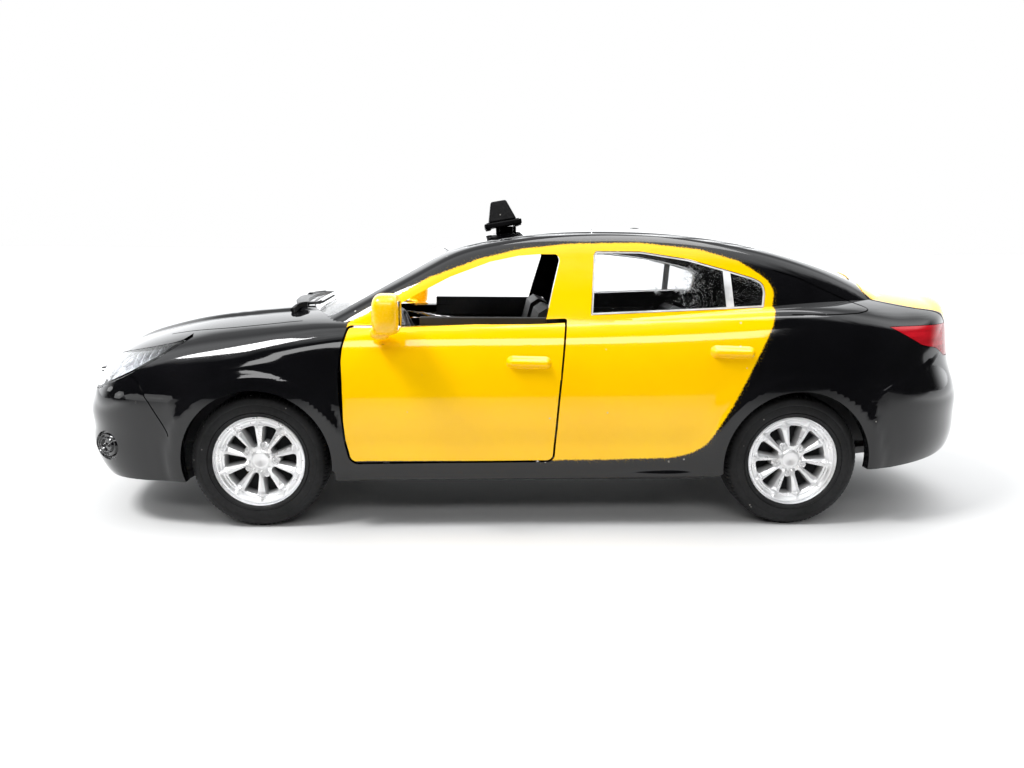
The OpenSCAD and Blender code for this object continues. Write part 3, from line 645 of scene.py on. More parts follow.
def plastic(name, col, rough=0.42, grain=0.25, var=0.25, dust=0.0, **kw):
    m = Mat(name, col, rough, **kw)
    n1, n2 = m.noise(2600, 3), m.noise(190, 4)
    hi = tuple(min(1, c * (1 + var) + 0.002) for c in col)
    lo = tuple(c * (1 - var) for c in col)
    c = m.mix(m.ramp(n2, 0.3, 0.7), lo, hi)
    if dust:
        d = m.math("MULTIPLY", m.ramp(m.voronoi(700), 0.05, 0.09, 1, 0), m.ramp(m.noise(310, 3), 0.52, 0.6))
        c = m.mix(m.math("MULTIPLY", d, dust), c, (0.45, 0.43, 0.40))
    m.to("Base Color", c)
    m.to("Roughness", m.ramp(n1, 0.25, 0.75, rough * 0.85, min(1, rough * 1.2)))
    m.bump(n1, grain, 0.00003)
    return m.m


def clear(name, tint=(0.97, 0.985, 0.985), rough=0.015, scratches=0.0, ior=1.46):
    m = Mat(name, tint, rough, ior=ior, trans=1.0)
    n = m.noise(120, 3)
    wave = m.n("TexWave")
    if scratches:
        a = m.ramp(m.noise(260, 5, 0.6, 3.5), 0.485, 0.5, 0, 1)
        b = m.ramp(m.noise(260, 5, 0.6, 3.5), 0.5, 0.515, 1, 0)
        line = m.math("MULTIPLY", a, b)
        gate = m.ramp(m.noise(90, 2), 0.52, 0.62)
        s = m.math("MULTIPLY", m.math("MULTIPLY", line, gate), scratches)
        m.to("Roughness", m.math("ADD", m.ramp(n, 0.3, 0.7, rough, rough * 2.5), m.math("MULTIPLY", s, 0.6)))
        m.to("Base Color", m.mix(s, tint, (0.8, 0.82, 0.85)))
        m.bump(s, 0.5, 0.00004)
    else:
        m.to("Roughness", m.ramp(n, 0.3, 0.7, rough, rough * 2.5))
        m.to("Base Color", m.mix(n, tint, tuple(c * 0.97 for c in tint)))
    m.t.nodes.remove(wave)
    m.bump(m.noise(60, 1), 0.05, 0.00003)
    return m.m


def plated(name):
    m = Mat(name, (0.74, 0.745, 0.76), 0.2, 1.0)
    n1, n2, n3 = m.noise(3200, 4), m.noise(500, 4), m.noise(90, 3)
    painted_window_shade = m.attr("painted_window_shade")
    c = m.mix(m.ramp(n2, 0.3, 0.75), (0.95, 0.95, 0.96), (0.86, 0.865, 0.875))
    c = m.mix(m.ramp(n3, 0.4, 0.8), c, (0.80, 0.79, 0.78))
    # painted shade: the window floors between the spokes go near black, less metallic and rougher, for the dark seen
    # in open windows
    c = m.mix(painted_window_shade, c, (0.006, 0.006, 0.007))
    m.to("Base Color", c)
    m.to("Metallic", m.ramp(painted_window_shade, 0, 1, 0.55, 0, False))
    m.to("Roughness", m.math("ADD", m.ramp(n2, 0.3, 0.75, 0.26, 0.36), m.math("MULTIPLY", painted_window_shade, 0.5)))
    m.bump(n3, 0.10, 0.00004)
    return m.m


M_BODY = paint_mat("black_and_yellow_paint", "body")
M_YPLASTIC = plastic("yellow_moulding", (1.0, 0.56, 0.0), 0.26, 0.12, 0.03, coat=0.3, coat_rough=0.1)
M_BLACK = plastic("black_moulding", (0.012, 0.012, 0.013), 0.38, 0.3, 0.3, 0.5)
M_SILL = plastic("base_moulding", (0.014, 0.014, 0.015), 0.45, 0.35, 0.3, 0.5)
M_INSIDE = plastic("cabin_moulding", (0.010, 0.010, 0.011), 0.5, 0.4, 0.3, 0.2)
M_SEAT = plastic("seat_moulding", (0.012, 0.012, 0.013), 0.55, 0.5, 0.3, 0.15)
M_WHEELRIM = plastic("steering_wheel_moulding", (0.10, 0.10, 0.11), 0.4, 0.3, 0.2)
M_SIGN = plastic("sign_moulding", (0.0035, 0.0035, 0.004), 0.36, 0.3, 0.3, 0.7, spec=0.1)
M_TYRE = plastic("tyre_rubber", (0.009, 0.009, 0.0095), 0.6, 0.5, 0.3, 0.6, spec=0.25)
M_GLASS = clear("clear_window", tint=(0.99, 0.995, 1.0), scratches=0.12)
M_SCREEN = clear("clear_screen", tint=(1.0, 1.0, 1.0), scratches=0.03)
# painted highlight: opaque light grey for the white light that the clear pane's moulded rim refracts
M_BORDER_GLINT = plastic("glass_border", (0.62, 0.63, 0.64), 0.12, 0.15, 0.35, 0.2, coat=0.4, coat_rough=0.05)
M_LENS = clear("lamp_lens", (0.97, 0.98, 1.0), 0.02)
M_RED = Mat("red_lens", (0.5, 0.008, 0.016), 0.06, ior=1.5, trans=0.15, coat=0.12, coat_rough=0.03, spec=0.25)
_n, _w = M_RED.noise(240, 3), M_RED.noise(60, 2, 0.5, 0, (1, 1, 14))
M_RED.to("Base Color", M_RED.mix(M_RED.ramp(_w, 0.35, 0.65), (0.56, 0.010, 0.020), (0.34, 0.004, 0.010)))
M_RED.to("Roughness", M_RED.ramp(_n, 0.3, 0.7, 0.04, 0.12)).bump(_w, 0.12, 0.00006)
M_RED = M_RED.m
M_PLATED = plated("plated_rim")
M_STEEL = Mat("axle_steel", (0.5, 0.5, 0.5), 0.35, 1.0)
M_STEEL.to("Roughness", M_STEEL.ramp(M_STEEL.noise(900, 3, 0.6, 0, (1, 30, 1)), 0.3, 0.7, 0.25, 0.5)).bump(M_STEEL.noise(1500, 3), 0.2)
M_STEEL = M_STEEL.m
M_BOWL = Mat("lamp_bowl", (0.86, 0.87, 0.89), 0.22, 0.35)
M_BOWL.to("Roughness", M_BOWL.ramp(M_BOWL.noise(900, 3), 0.3, 0.7, 0.14, 0.34)).bump(M_BOWL.noise(700, 2), 0.08, 0.00003)
M_BOWL = M_BOWL.m
M_REDBOWL = plastic("red_lamp_back", (0.32, 0.004, 0.010), 0.3, 0.2, 0.2)
M_PLATE = plastic("blank_plate", (0.78, 0.78, 0.76), 0.35, 0.1, 0.05)
M_MIRROR = Mat("mirror_foil", (0.8, 0.81, 0.82), 0.08, 1.0)
M_MIRROR.to("Roughness", M_MIRROR.ramp(M_MIRROR.noise(400, 3), 0.3, 0.7, 0.05, 0.16))
M_MIRROR = M_MIRROR.m

# ---------------------------------------------------------------- body casting and doors
SKIN = 1.3
kq = 1.0
OUT_L = form(f_lower, 0, -38, 38, 16, int(150 * kq), int(46 * kq), finer(E_OUT, 4), -6, 60)
OUT_C = form(f_cabin, 0, -34, 20, 27, int(96 * kq), int(26 * kq), finer(E_ROOF, 4), 21, 50)
IN_L = form(f_lower, SKIN, -38, 38, 15, 30, 12, E_IN, -8, 60)
IN_C = form(f_cabin, SKIN - 0.1, -34, 20, 27, 32, 9, E_ROOF, 21, 50)


def obj(vf, name="form"):
    return outward(new_object(name, *vf))


arch_f = lambda y0=-40, y1=40: disc(AXF, TYRE_R, 10.35, y0, y1)
arch_r = lambda y0=-40, y1=40: disc(AXR, TYRE_R, 10.35, y0, y1)


def strip(poly_xz, w, y0, y1):
    """A thin wall that follows a line in side view."""
    P = np.array(poly_xz, float)
    T = np.gradient(P, axis=0)
    T /= np.linalg.norm(T, axis=1)[:, None]
    N = np.stack([-T[:, 1], T[:, 0]], 1) * w / 2
    return prism(np.concatenate([P + N, (P - N)[::-1]]), "y", y0, y1)


def strip_plan(poly_xy, w, z0, z1):
    P = np.array(poly_xy, float)
    T = np.gradient(P, axis=0)
    T /= np.linalg.norm(T, axis=1)[:, None]
    N = np.stack([-T[:, 1], T[:, 0]], 1) * w / 2
    return prism(np.concatenate([P + N, (P - N)[::-1]]), "z", z0, z1)


GROOVE = 0.32
GL_ = (int(100 * kq), int(30 * kq), finer(E_OUT, 2))
GC_ = (int(80 * kq), int(24 * kq), finer(E_ROOF, 2))


def both_forms(off, zb, reach):
    a = obj(form(f_lower, off, -38, 38, 16, *GL_, zb, reach))
    return boolean(a, obj(form(f_cabin, off, -34, 20, 27, *GC_, zb + 26, reach - 10)), "UNION")


SKIN_L = boolean(both_forms(-0.4, -6, 62), both_forms(GROOVE, -7, 60))


def groove_into(o, cutter):
    """Cuts a shallow groove: only the outer layer of the skin inside the cutter goes."""
    g = boolean(copy(SKIN_L), cutter, "INTERSECT")
    return boolean(o, g)


QUARTER = [[-33.4, 36.1], [-37.4, 34.9], [-41.0, 33.3], [-44.6, 31.8], [-46.6, 30.85], [-44.9, 30.4], [-43.2, 30.3], [-39.0, 30.2], [-34.8, 30.2]]


def handle(x0, z0, x1, z1):
    """A moulded pull handle: a raised bar with a thin raised ring below it, as a patch to weld on."""
    c, h = np.array([(x0 + x1) / 2, (z0 + z1) / 2]), np.array([(x1 - x0) / 2, (z1 - z0) / 2])
    L = np.linalg.norm(h)
    u = h / L
    v = np.array([-u[1], u[0]])
    n, m = ((96, 48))
    U, W = np.meshgrid(np.linspace(-L - 1.5, L + 1.5, n), np.linspace(-2.3, 1.8, m), indexing="ij")
    X, Z = c[0] + U * u[0] + W * v[0], c[1] + U * u[1] + W * v[1]
    Y = cast(f_lower, np.stack([X, 0 * X, Z], -1), np.broadcast_to(np.array([0.0, 1, 0]), X.shape + (3,)), 0, 5, 40)[..., 1]
    bar = np.hypot(np.maximum(np.abs(U) - L + 0.72, 0), W) - 0.72
    up = 0.85 * (1 - step3((bar + 0.55) / 0.8))
    low = np.hypot(np.maximum(np.abs(U) - L + 1.5, 0), W + 1.1) - 0.5
    lowr = 0.17 * np.exp(-((low / 0.3) ** 2))
    scoop = 0.25 * (1 - step3((low + 0.45) / 0.6))
    edge = np.minimum.reduce([U + L + 1.5, L + 1.5 - U, W + 2.3, 1.8 - W])
    Yo = Y - 0.06 + 0.06 * step3(edge / 0.1) * 0 + np.maximum(up, lowr - scoop * 0)
    A, B = np.stack([X, Yo, Z], -1), np.stack([X, Y - 0.8, Z], -1)
    V = np.concatenate([A.reshape(-1, 3), B.reshape(-1, 3)])
    k = n * m
    F = []
    for i in range(n - 1):
        for j in range(m - 1):
            a = i * m + j
            F += [(a, a + m, a + m + 1, a + 1), (k + a, k + a + 1, k + a + m + 1, k + a + m)]
    rim = [i * m for i in range(n)] + [(n - 1) * m + j for j in range(1, m)] + [i * m + m - 1 for i in range(n - 2, -1, -1)] + [j for j in range(m - 2, 0, -1)]
    for a, b in zip(rim, rim[1:] + rim[:1]):
        F.append((a, k + a, k + b, b))
    return outward(new_object("handle", V, F))


def stamp(P0, U, Wd, N, hu, hw, fn, n=90, m=70, f=f_lower):
    """A cutter whose lower face follows the skin at depth fn(u, w), and whose top stands clear of it."""
    P0, U, Wd, N = (np.array(q, float) for q in (P0, U, Wd, N))
    A, B = np.meshgrid(np.linspace(-hu, hu, n), np.linspace(-hw, hw, m), indexing="ij")
    O = P0 - 6 * N + A[..., None] * U + B[..., None] * Wd
    S = cast(f, O, np.broadcast_to(N, O.shape), 0, 0, 12)
    lo = S - N * fn(A, B)[..., None]
    hi = S + 1.2 * N
    V = np.concatenate([hi.reshape(-1, 3), lo.reshape(-1, 3)])
    k = n * m
    F = []
    for i in range(n - 1):
        for j in range(m - 1):
            a = i * m + j
            F += [(a, a + m, a + m + 1, a + 1), (k + a, k + a + 1, k + a + m + 1, k + a + m)]
    rim = [i * m for i in range(n)] + [(n - 1) * m + j for j in range(1, m)] + [i * m + m - 1 for i in range(n - 2, -1, -1)] + [j for j in range(m - 2, 0, -1)]
    for a, b in zip(rim, rim[1:] + rim[:1]):
        F.append((a, k + a, k + b, b))
    return outward(new_object("stamp", V, F))


def fog_depth(a, b):
    # an almond: pointed towards the wheel, with stepped rims and a small lamp in it
    q = np.hypot(a / (3.3 - 0.22 * b), (b + 0.12 * a) / (2.15 - 0.12 * a))
    d = -0.12 + 0.50 * step3((1.0 - q) / 0.10)
    d = d - 0.26 * step3((0.80 - q) / 0.05) + 0.26 * step3((0.70 - q) / 0.05)
    d = d - 0.24 * step3((0.54 - q) / 0.05) + 0.30 * step3((0.44 - q) / 0.05)
    for c in (-0.5, 0.5):
        d = d - 0.28 * (1 - step3((np.hypot(a - c, b) - 0.16) / 0.10))
    return d


body = boolean(obj(OUT_L), obj(OUT_C), "UNION")
body = boolean(body, obj(IN_L))
body = boolean(body, obj(IN_C))
cut = prism(UNDER, "y", -40, 40)
body = boolean(body, cut)
body = boolean(body, arch_f())
body = boolean(body, arch_r())
D_OUT = grow(DOOR, 0.3)
for s in (1, -1):
    ys = (12, 32) if s > 0 else (-32, -12)
    for p in (round_poly(D_OUT, 0.5), round_poly(FRONT_GLASS, [0.6, 0, 0.3, 0, 0.4, 0.4, 0, 0, 0, 0, 0]), round_poly(REAR_GLASS, [0.3, 0, 0.4, 0.4, 0.5, 0.5, 0.5, 0.6, 0.4, 0.25])):
        body = boolean(body, prism(p, "y", *ys))
    body = boolean(body, prism(round_poly(HEADLIGHT, 0.3), "y", *((9.5, 30) if s > 0 else (-30, -9.5))))
    body = boolean(body, prism(round_poly(TAIL_LIGHT, 0.3), "y", *((10.5, 30) if s > 0 else (-30, -10.5))))
body = boolean(body, prism(mirrored(round_poly(SCREEN, 0)), "z", 26, 50))
body = boolean(body, prism(mirrored(round_poly(BACKLIGHT, 0)), "z", 30.5, 50))
# seats for the plates, grille openings and the sign's clip hole
body = boolean(body, block(60, 80, -13, 13, 8.2, 12.8, 0.8, 3))
body = boolean(body, block(60, 80, -9, 9, 18.3, 20.9, 0.5, 3))
body = boolean(body, block(67.2, 70, -7.3, 7.3, 13.1, 16.4))
body = boolean(body, block(-70, -67.2, -7.3, 7.3, 14.6, 17.9))
body = boolean(body, block(2.6, 6.0, -1.6, 1.6, 38, 44))
# shut lines: bonnet, boot lid, bumper seams, fuel flap
bonnet = [[33.2, 19.6], [38, 19.4], [44, 18.6], [49.5, 17.2], [52.5, 16.4]]
boot = [[-49.8, 0], [-49.4, 8], [-47.6, 15.0], [-48.4, 16.9], [-52, 17.4], [-57, 17.0], [-61, 16.4]]
for s in (1, -1):
    flip = np.array([1, s])
    body = groove_into(body, strip_plan(smooth_poly(bonnet, False) * flip, 0.22, 22, 34))
    body = groove_into(body, strip_plan(smooth_poly(boot[1:], False) * flip, 0.24, 27, 38))
    ys = (14, 30) if s > 0 else (-30, -14)
    body = groove_into(body, strip(smooth_poly([[56.2, 21.3], [54.9, 20.6], [53.3, 17.6], [51.2, 14.1], [50.9, 13.2]], False), 0.16, *ys))
    body = groove_into(body, strip(smooth_poly(QUARTER, False, 4), 0.13, *ys))
body = groove_into(body, strip_plan(smooth_poly([[-49.9, -8], [-50.2, 0], [-49.9, 8]], False), 0.24, 27, 38))
body = groove_into(body, strip_plan(smooth_poly([[65.8, -10], [66.6, 0], [65.8, 10]], False), 0.2, 21.4, 26))
nf = np.array([0.62, 0.78, -0.03])
nf /= np.linalg.norm(nf)
uf = np.array([nf[1], -nf[0], 0])
uf /= np.linalg.norm(uf)
wf = np.cross(uf, nf) * (1 if np.cross(uf, nf)[2] > 0 else -1)
st = stamp((61.3, 20.4, 11.0), uf, wf, nf, 4.2, 2.9, fog_depth)
st2 = flipped(st, "st2")
body = boolean(body, st)
body = boolean(body, st2)
for s in (1, -1):
    body = groove_into(body, strip(np.array([[51.4, 25.15], [49.6, 25.75], [48.6, 26.5]]), 0.5, *((14, 30) if s > 0 else (-30, -14))))
    body = groove_into(body, strip_plan(smooth_poly([[-8.5, s * 3], [-8.3, s * 10], [-7.6, s * 15.5]], False), 0.14, 36, 44))
body = groove_into(body, strip_plan(np.array([[-8.5, -3.2], [-8.55, 0], [-8.5, 3.2]]), 0.14, 36, 44))
h = handle(-29.2, 25.1, -23.2, 25.25)
h2 = flipped(h, "h2")
body = boolean(body, h, "UNION")
body = boolean(body, h2, "UNION")
fair(body, [(f_lower, 0), (f_cabin, 0)])
set_float(body, "paint", paint_value(arrays(body.data)))
done(body, "body_casting", "car", M_BODY, "body_shell")

# ---------------------------------------------------------------- front doors
door = obj(OUT_L)
door = boolean(door, obj(form(f_lower, SKIN - 0.1, -38, 38, 15, 30, 12, E_IN, -8, 60)))
door = boolean(door, prism(round_poly(DOOR, [0.4, 0.3, 0, 0, 0, 0.3, 0.4, 0.5, 0.3, 0, 0, 0.35, 0]), "y", 12, 32), "INTERSECT")
swing = prism(np.array([[HINGE[0] + 5.9 * math.cos(a), HINGE[1] + 5.9 * math.sin(a)] for a in np.linspace(-math.pi / 2, math.pi / 2, 40)] + [[HINGE[0], 40], [-20, 40], [-20, 0], [HINGE[0], 0]]), "z", 0, 40)
door = boolean(door, swing, "INTERSECT")
door = boolean(door, obj(OUT_C))
a_ = np.linspace(0, 2 * np.pi, 32, endpoint=False)
door = boolean(door, prism(np.stack([HINGE[0] + 1.05 * np.cos(a_), HINGE[1] + 1.05 * np.sin(a_)], 1), "z", 0, 26))
door = boolean(door, handle(-1.2, 23.6, 4.7, 23.72), "UNION")
fair(door, [(f_lower, 0)])
dr = flipped(door, "dr")
fair(dr, [(f_lower, 0)])
for o in (door, dr):
    V_ = arrays(o.data)
    set_float(o, "paint", np.clip(np.minimum((f_lower(V_) + 0.55) * 4, (V_[:, 2] - 9.85) * 6), -3, 3))
done(door, "left_door_skin", "door_left", M_BODY, "front_door_left")
done(dr, "right_door_skin", "door_right", M_BODY, "front_door_right")


def both(make, name, body, mat, node, smooth=True, angle=32):
    """One piece a side, from the left-hand one. body and node hold {s} for the side."""
    o = make
    if smooth:
        auto_smooth(o, angle)
    r = flipped(o, name + "_right")
    if smooth:
        auto_smooth(r, angle)
    for p, sd in ((o, "left"), (r, "right")):
        done(p, name + "_" + sd, body.format(s=sd), mat, node.format(s=sd) if node else ())


# inner trim with an arm rest, a window winder boss and a speaker ring
trim = prism(round_poly([[26.1, 26.2], [26.2, 14], [25, 10.6], [-0.7, 10.8], [-1.7, 18.5], [-2.3, 27.3], [12, 26.9], [18, 26.4]], 0.5), "y", 21.05, 21.9)
soften(trim, 0.14, 2)
bits = [trim, block(-0.9, 16.8, 20.5, 21.15, 26.0, 29.45, 0.18, 3), block(2, 11, 20.4, 21.3, 21.6, 22.7, 0.25, 3), block(4.5, 9, 20.15, 21.2, 22.2, 22.75, 0.2, 2), block(15, 22.5, 20.75, 21.2, 12.2, 12.9, 0.15, 2)]
for (x, z, r) in ((19, 15.8, 2.2), (19, 15.8, 1.3)):
    ring = boolean(disc(x, z, r, 20.8, 21.2, 48), disc(x, z, r - 0.35, 20, 22, 48))
    bits.append(ring)
lug = prism(np.stack([HINGE[0] + 0.95 * np.cos(a_), HINGE[1] + 0.95 * np.sin(a_)], 1), "z", 11, 23)
lug = boolean(lug, prism(np.stack([HINGE[0] + 0.55 * np.cos(a_), HINGE[1] + 0.55 * np.sin(a_)], 1), "z", 10, 24))
bits += [lug, block(20.9, 22.1, 21.5, 22.55, 11, 23, 0.1, 1)]
both(join("trim", bits), "door_card", "door_{s}", M_INSIDE, "door_trim_{s}")


def superell(c, r, e=3.6, n=48, m=30, taper=0.0):
    """A soft box. taper narrows it towards +y."""
    th, ph = np.linspace(0, 2 * np.pi, n, endpoint=False), np.linspace(-np.pi / 2, np.pi / 2, m)
    q = lambda w: np.sign(w) * np.abs(w) ** (2 / e)
    V, F = [], []
    for p in ph:
        for t in th:
            V.append([q(math.cos(p)) * q(math.cos(t)), q(math.sin(p)), q(math.cos(p)) * q(math.sin(t))])
    V = np.array(V)
    k = 1 - taper * (V[:, 1:2] + 1) / 2
    V = np.array(c) + V * np.array(r) * np.concatenate([k, 0 * k + 1, k], 1)
    for i in range(m - 1):
        for j in range(n):
            F.append((i * n + j, i * n + (j + 1) % n, (i + 1) * n + (j + 1) % n, (i + 1) * n + j))
    o = new_object("soft", V, F)
    bm = bmesh.new()
    bm.from_mesh(o.data)
    bmesh.ops.remove_doubles(bm, verts=bm.verts, dist=1e-5)
    bmesh.ops.dissolve_degenerate(bm, edges=bm.edges, dist=1e-5)
    bm.to_mesh(o.data)
    bm.free()
    return outward(o)


mirror = superell((20.62, 27.44, 30.3), (2.0, 2.42, 2.85), 3.6, 64, 44, 0.12)
mirror = boolean(mirror, block(17.9, 18.95, 25.85, 28.9, 28.35, 32.2, 0.35, 4))
foot = superell((21.7, 25.4, 27.7), (1.35, 1.3, 0.95), 2.6, 40, 26)
mirror = boolean(mirror, foot, "UNION")
both(mirror, "mirror_housing", "door_{s}", M_YPLASTIC, "door_mirror_{s}", angle=40)
both(block(18.9, 19.1, 25.9, 28.85, 28.4, 32.15, 0.08, 1), "mirror_face", "door_{s}", M_MIRROR, None)

# ---------------------------------------------------------------- glazing
G = (int(90 * kq), int(26 * kq), finer(E_ROOF, 2))


def pane(poly, axis, lo, hi, o0, o1, f=f_cabin, L=None):
    x0, x1, z0, zb, r = (-34, 20, 27, 21, 50) if f is f_cabin else (-38, 38, 16, -6, 60)
    n, k, E = L or G
    p = boolean(obj(form(f, o0, x0, x1, z0, n, k, E, zb, r)), obj(form(f, o1, x0, x1, z0, n, k, E, zb, r)))
    p = boolean(p, prism(poly, axis, lo, hi), "INTERSECT")
    fair(p, [(f, o0), (f, o1)])
    return p


g = pane(grow(mirrored(round_poly(SCREEN, 0)), -0.06), "z", 26, 50, 0.2, 1.0)
done(g, "screen_front", "car", M_SCREEN, "windscreen")
g = pane(grow(mirrored(round_poly(BACKLIGHT, 0)), -0.06), "z", 30.5, 50, 0.2, 1.0)
done(g, "screen_rear", "car", M_SCREEN, "rear_window")
RG = grow(round_poly(REAR_GLASS, [0.3, 0, 0.4, 0.4, 0.5, 0.5, 0.5, 0.6, 0.4, 0.25]), -0.06)
for s, sd in ((1, "left"), (-1, "right")):
    y = (12, 32) if s > 0 else (-32, -12)
    g = pane(RG, "y", *y, 0.3, 1.1)
    # the pane's border ring and bar carry the light grey painted highlight of the rim
    g2 = pane(grow(RG, -0.02), "y", *y, 0.12, 0.34)
    g2 = boolean(g2, prism(grow(RG, -0.24), "y", *y))
    bar = pane(np.array([[-27.25, 30.5], [-26.15, 30.5], [-25.95, 38], [-26.95, 38]]), "y", *y, 0.10, 0.34)
    bar = boolean(bar, prism(grow(RG, -0.2), "y", *y), "INTERSECT")
    fair(g2, [(f_cabin, 0.12), (f_cabin, 0.34)])
    fair(bar, [(f_cabin, 0.10), (f_cabin, 0.34)])
    done(g, "quarter_glass_" + sd, "car", M_GLASS, "rear_side_window_" + sd)
    done(g2, "glass_border_" + sd, "car", M_BORDER_GLINT)
    done(bar, "glass_bar_" + sd, "car", M_BORDER_GLINT)

# ---------------------------------------------------------------- lamps
GL = (int(110 * kq), int(40 * kq), finer(E_OUT, 2))
for s, sd in ((1, "left"), (-1, "right")):
    y = (9.62, 30) if s > 0 else (-30, -9.62)
    hl = grow(round_poly(HEADLIGHT, 0.3), -0.07)
    lens = pane(hl, "y", *y, 0.03, 0.75, f_lower, GL)
    done(lens, "lamp_glass_" + sd, "car", M_LENS, "headlight_" + sd)
    bowl = pane(grow(hl, -0.05), "y", *y, 1.75, 2.45, f_lower, GL)
    bowl = boolean(bowl, block(40, 80, min(y) + 0.1, max(y) - 0.1, 10, 35), "INTERSECT")
    done(bowl, "lamp_bowl_" + sd, "car", M_BOWL, "headlight_bowl_" + sd)
    # reflector cups and fins behind the glass
    bits = []
    for (x, z, r) in ((61.4, 20.9, 1.05), (58.3, 22.3, 0.95)):
        p0 = cast(f_lower, np.array([[x, 0, z]]), np.array([[0.0, 1, 0]]), 1.5, 5, 40)[0]
        nrm = Vector(grad(f_lower, p0[None])[0] * np.array([1, s, 1]))
        p0 = Vector(p0 * np.array([1, s, 1]))
        q = nrm.to_track_quat("Z", "Y").to_matrix().to_4x4()
        for k, (rr, w, d) in enumerate(((r, 0.16, 0.05), (r * 0.72, 0.14, -0.25), (r * 0.42, 0.2, -0.4))):
            bm = bmesh.new()
            n = 40
            ring = []
            for i in range(n):
                a = 2 * math.pi * i / n
                ring.append([bm.verts.new(((rr + w * math.cos(b)) * math.cos(a), (rr + w * math.cos(b)) * math.sin(a), d + w * math.sin(b))) for b in np.linspace(0, 2 * math.pi, 10, endpoint=False)])
            for i in range(n):
                for j in range(10):
                    bm.faces.new((ring[i][j], ring[(i + 1) % n][j], ring[(i + 1) % n][(j + 1) % 10], ring[i][(j + 1) % 10]))
            me = bpy.data.meshes.new("cup")
            bm.to_mesh(me)
            bm.free()
            me.transform(Matrix.Translation(p0) @ q)
            c = bpy.data.objects.new("cup", me)
            bpy.context.scene.collection.objects.link(c)
            bits.append(c)
    for x in np.arange(51.8, 57.2, 1.15):
        w = 0.07
        fin = boolean(pane(grow(hl, -0.25), "y", *y, 1.0, 1.8, f_lower, (40, 14, E_OUT)), block(x - w, x + w, min(y), max(y), 15, 30), "INTERSECT")
        if len(fin.data.polygons):
            bits.append(fin)
        else:
            bpy.data.objects.remove(fin)
    b = join("cups", bits)
    auto_smooth(b, 40)
    done(b, "lamp_cups_" + sd, "car", M_BOWL)
    y = (10.62, 30) if s > 0 else (-30, -10.62)
    tl = grow(round_poly(TAIL_LIGHT, 0.3), -0.07)
    lens = pane(tl, "y", *y, 0.03, 0.9, f_lower, GL)
    done(lens, "tail_glass_" + sd, "car", M_RED, "tail_light_" + sd)
    back = pane(grow(tl, -0.06), "y", *y, 1.0, 1.25, f_lower, GL)
    done(back, "tail_back_" + sd, "car", M_REDBOWL)

# ---------------------------------------------------------------- wheels
RIM_R, TYRE_W = 6.35, 6.6


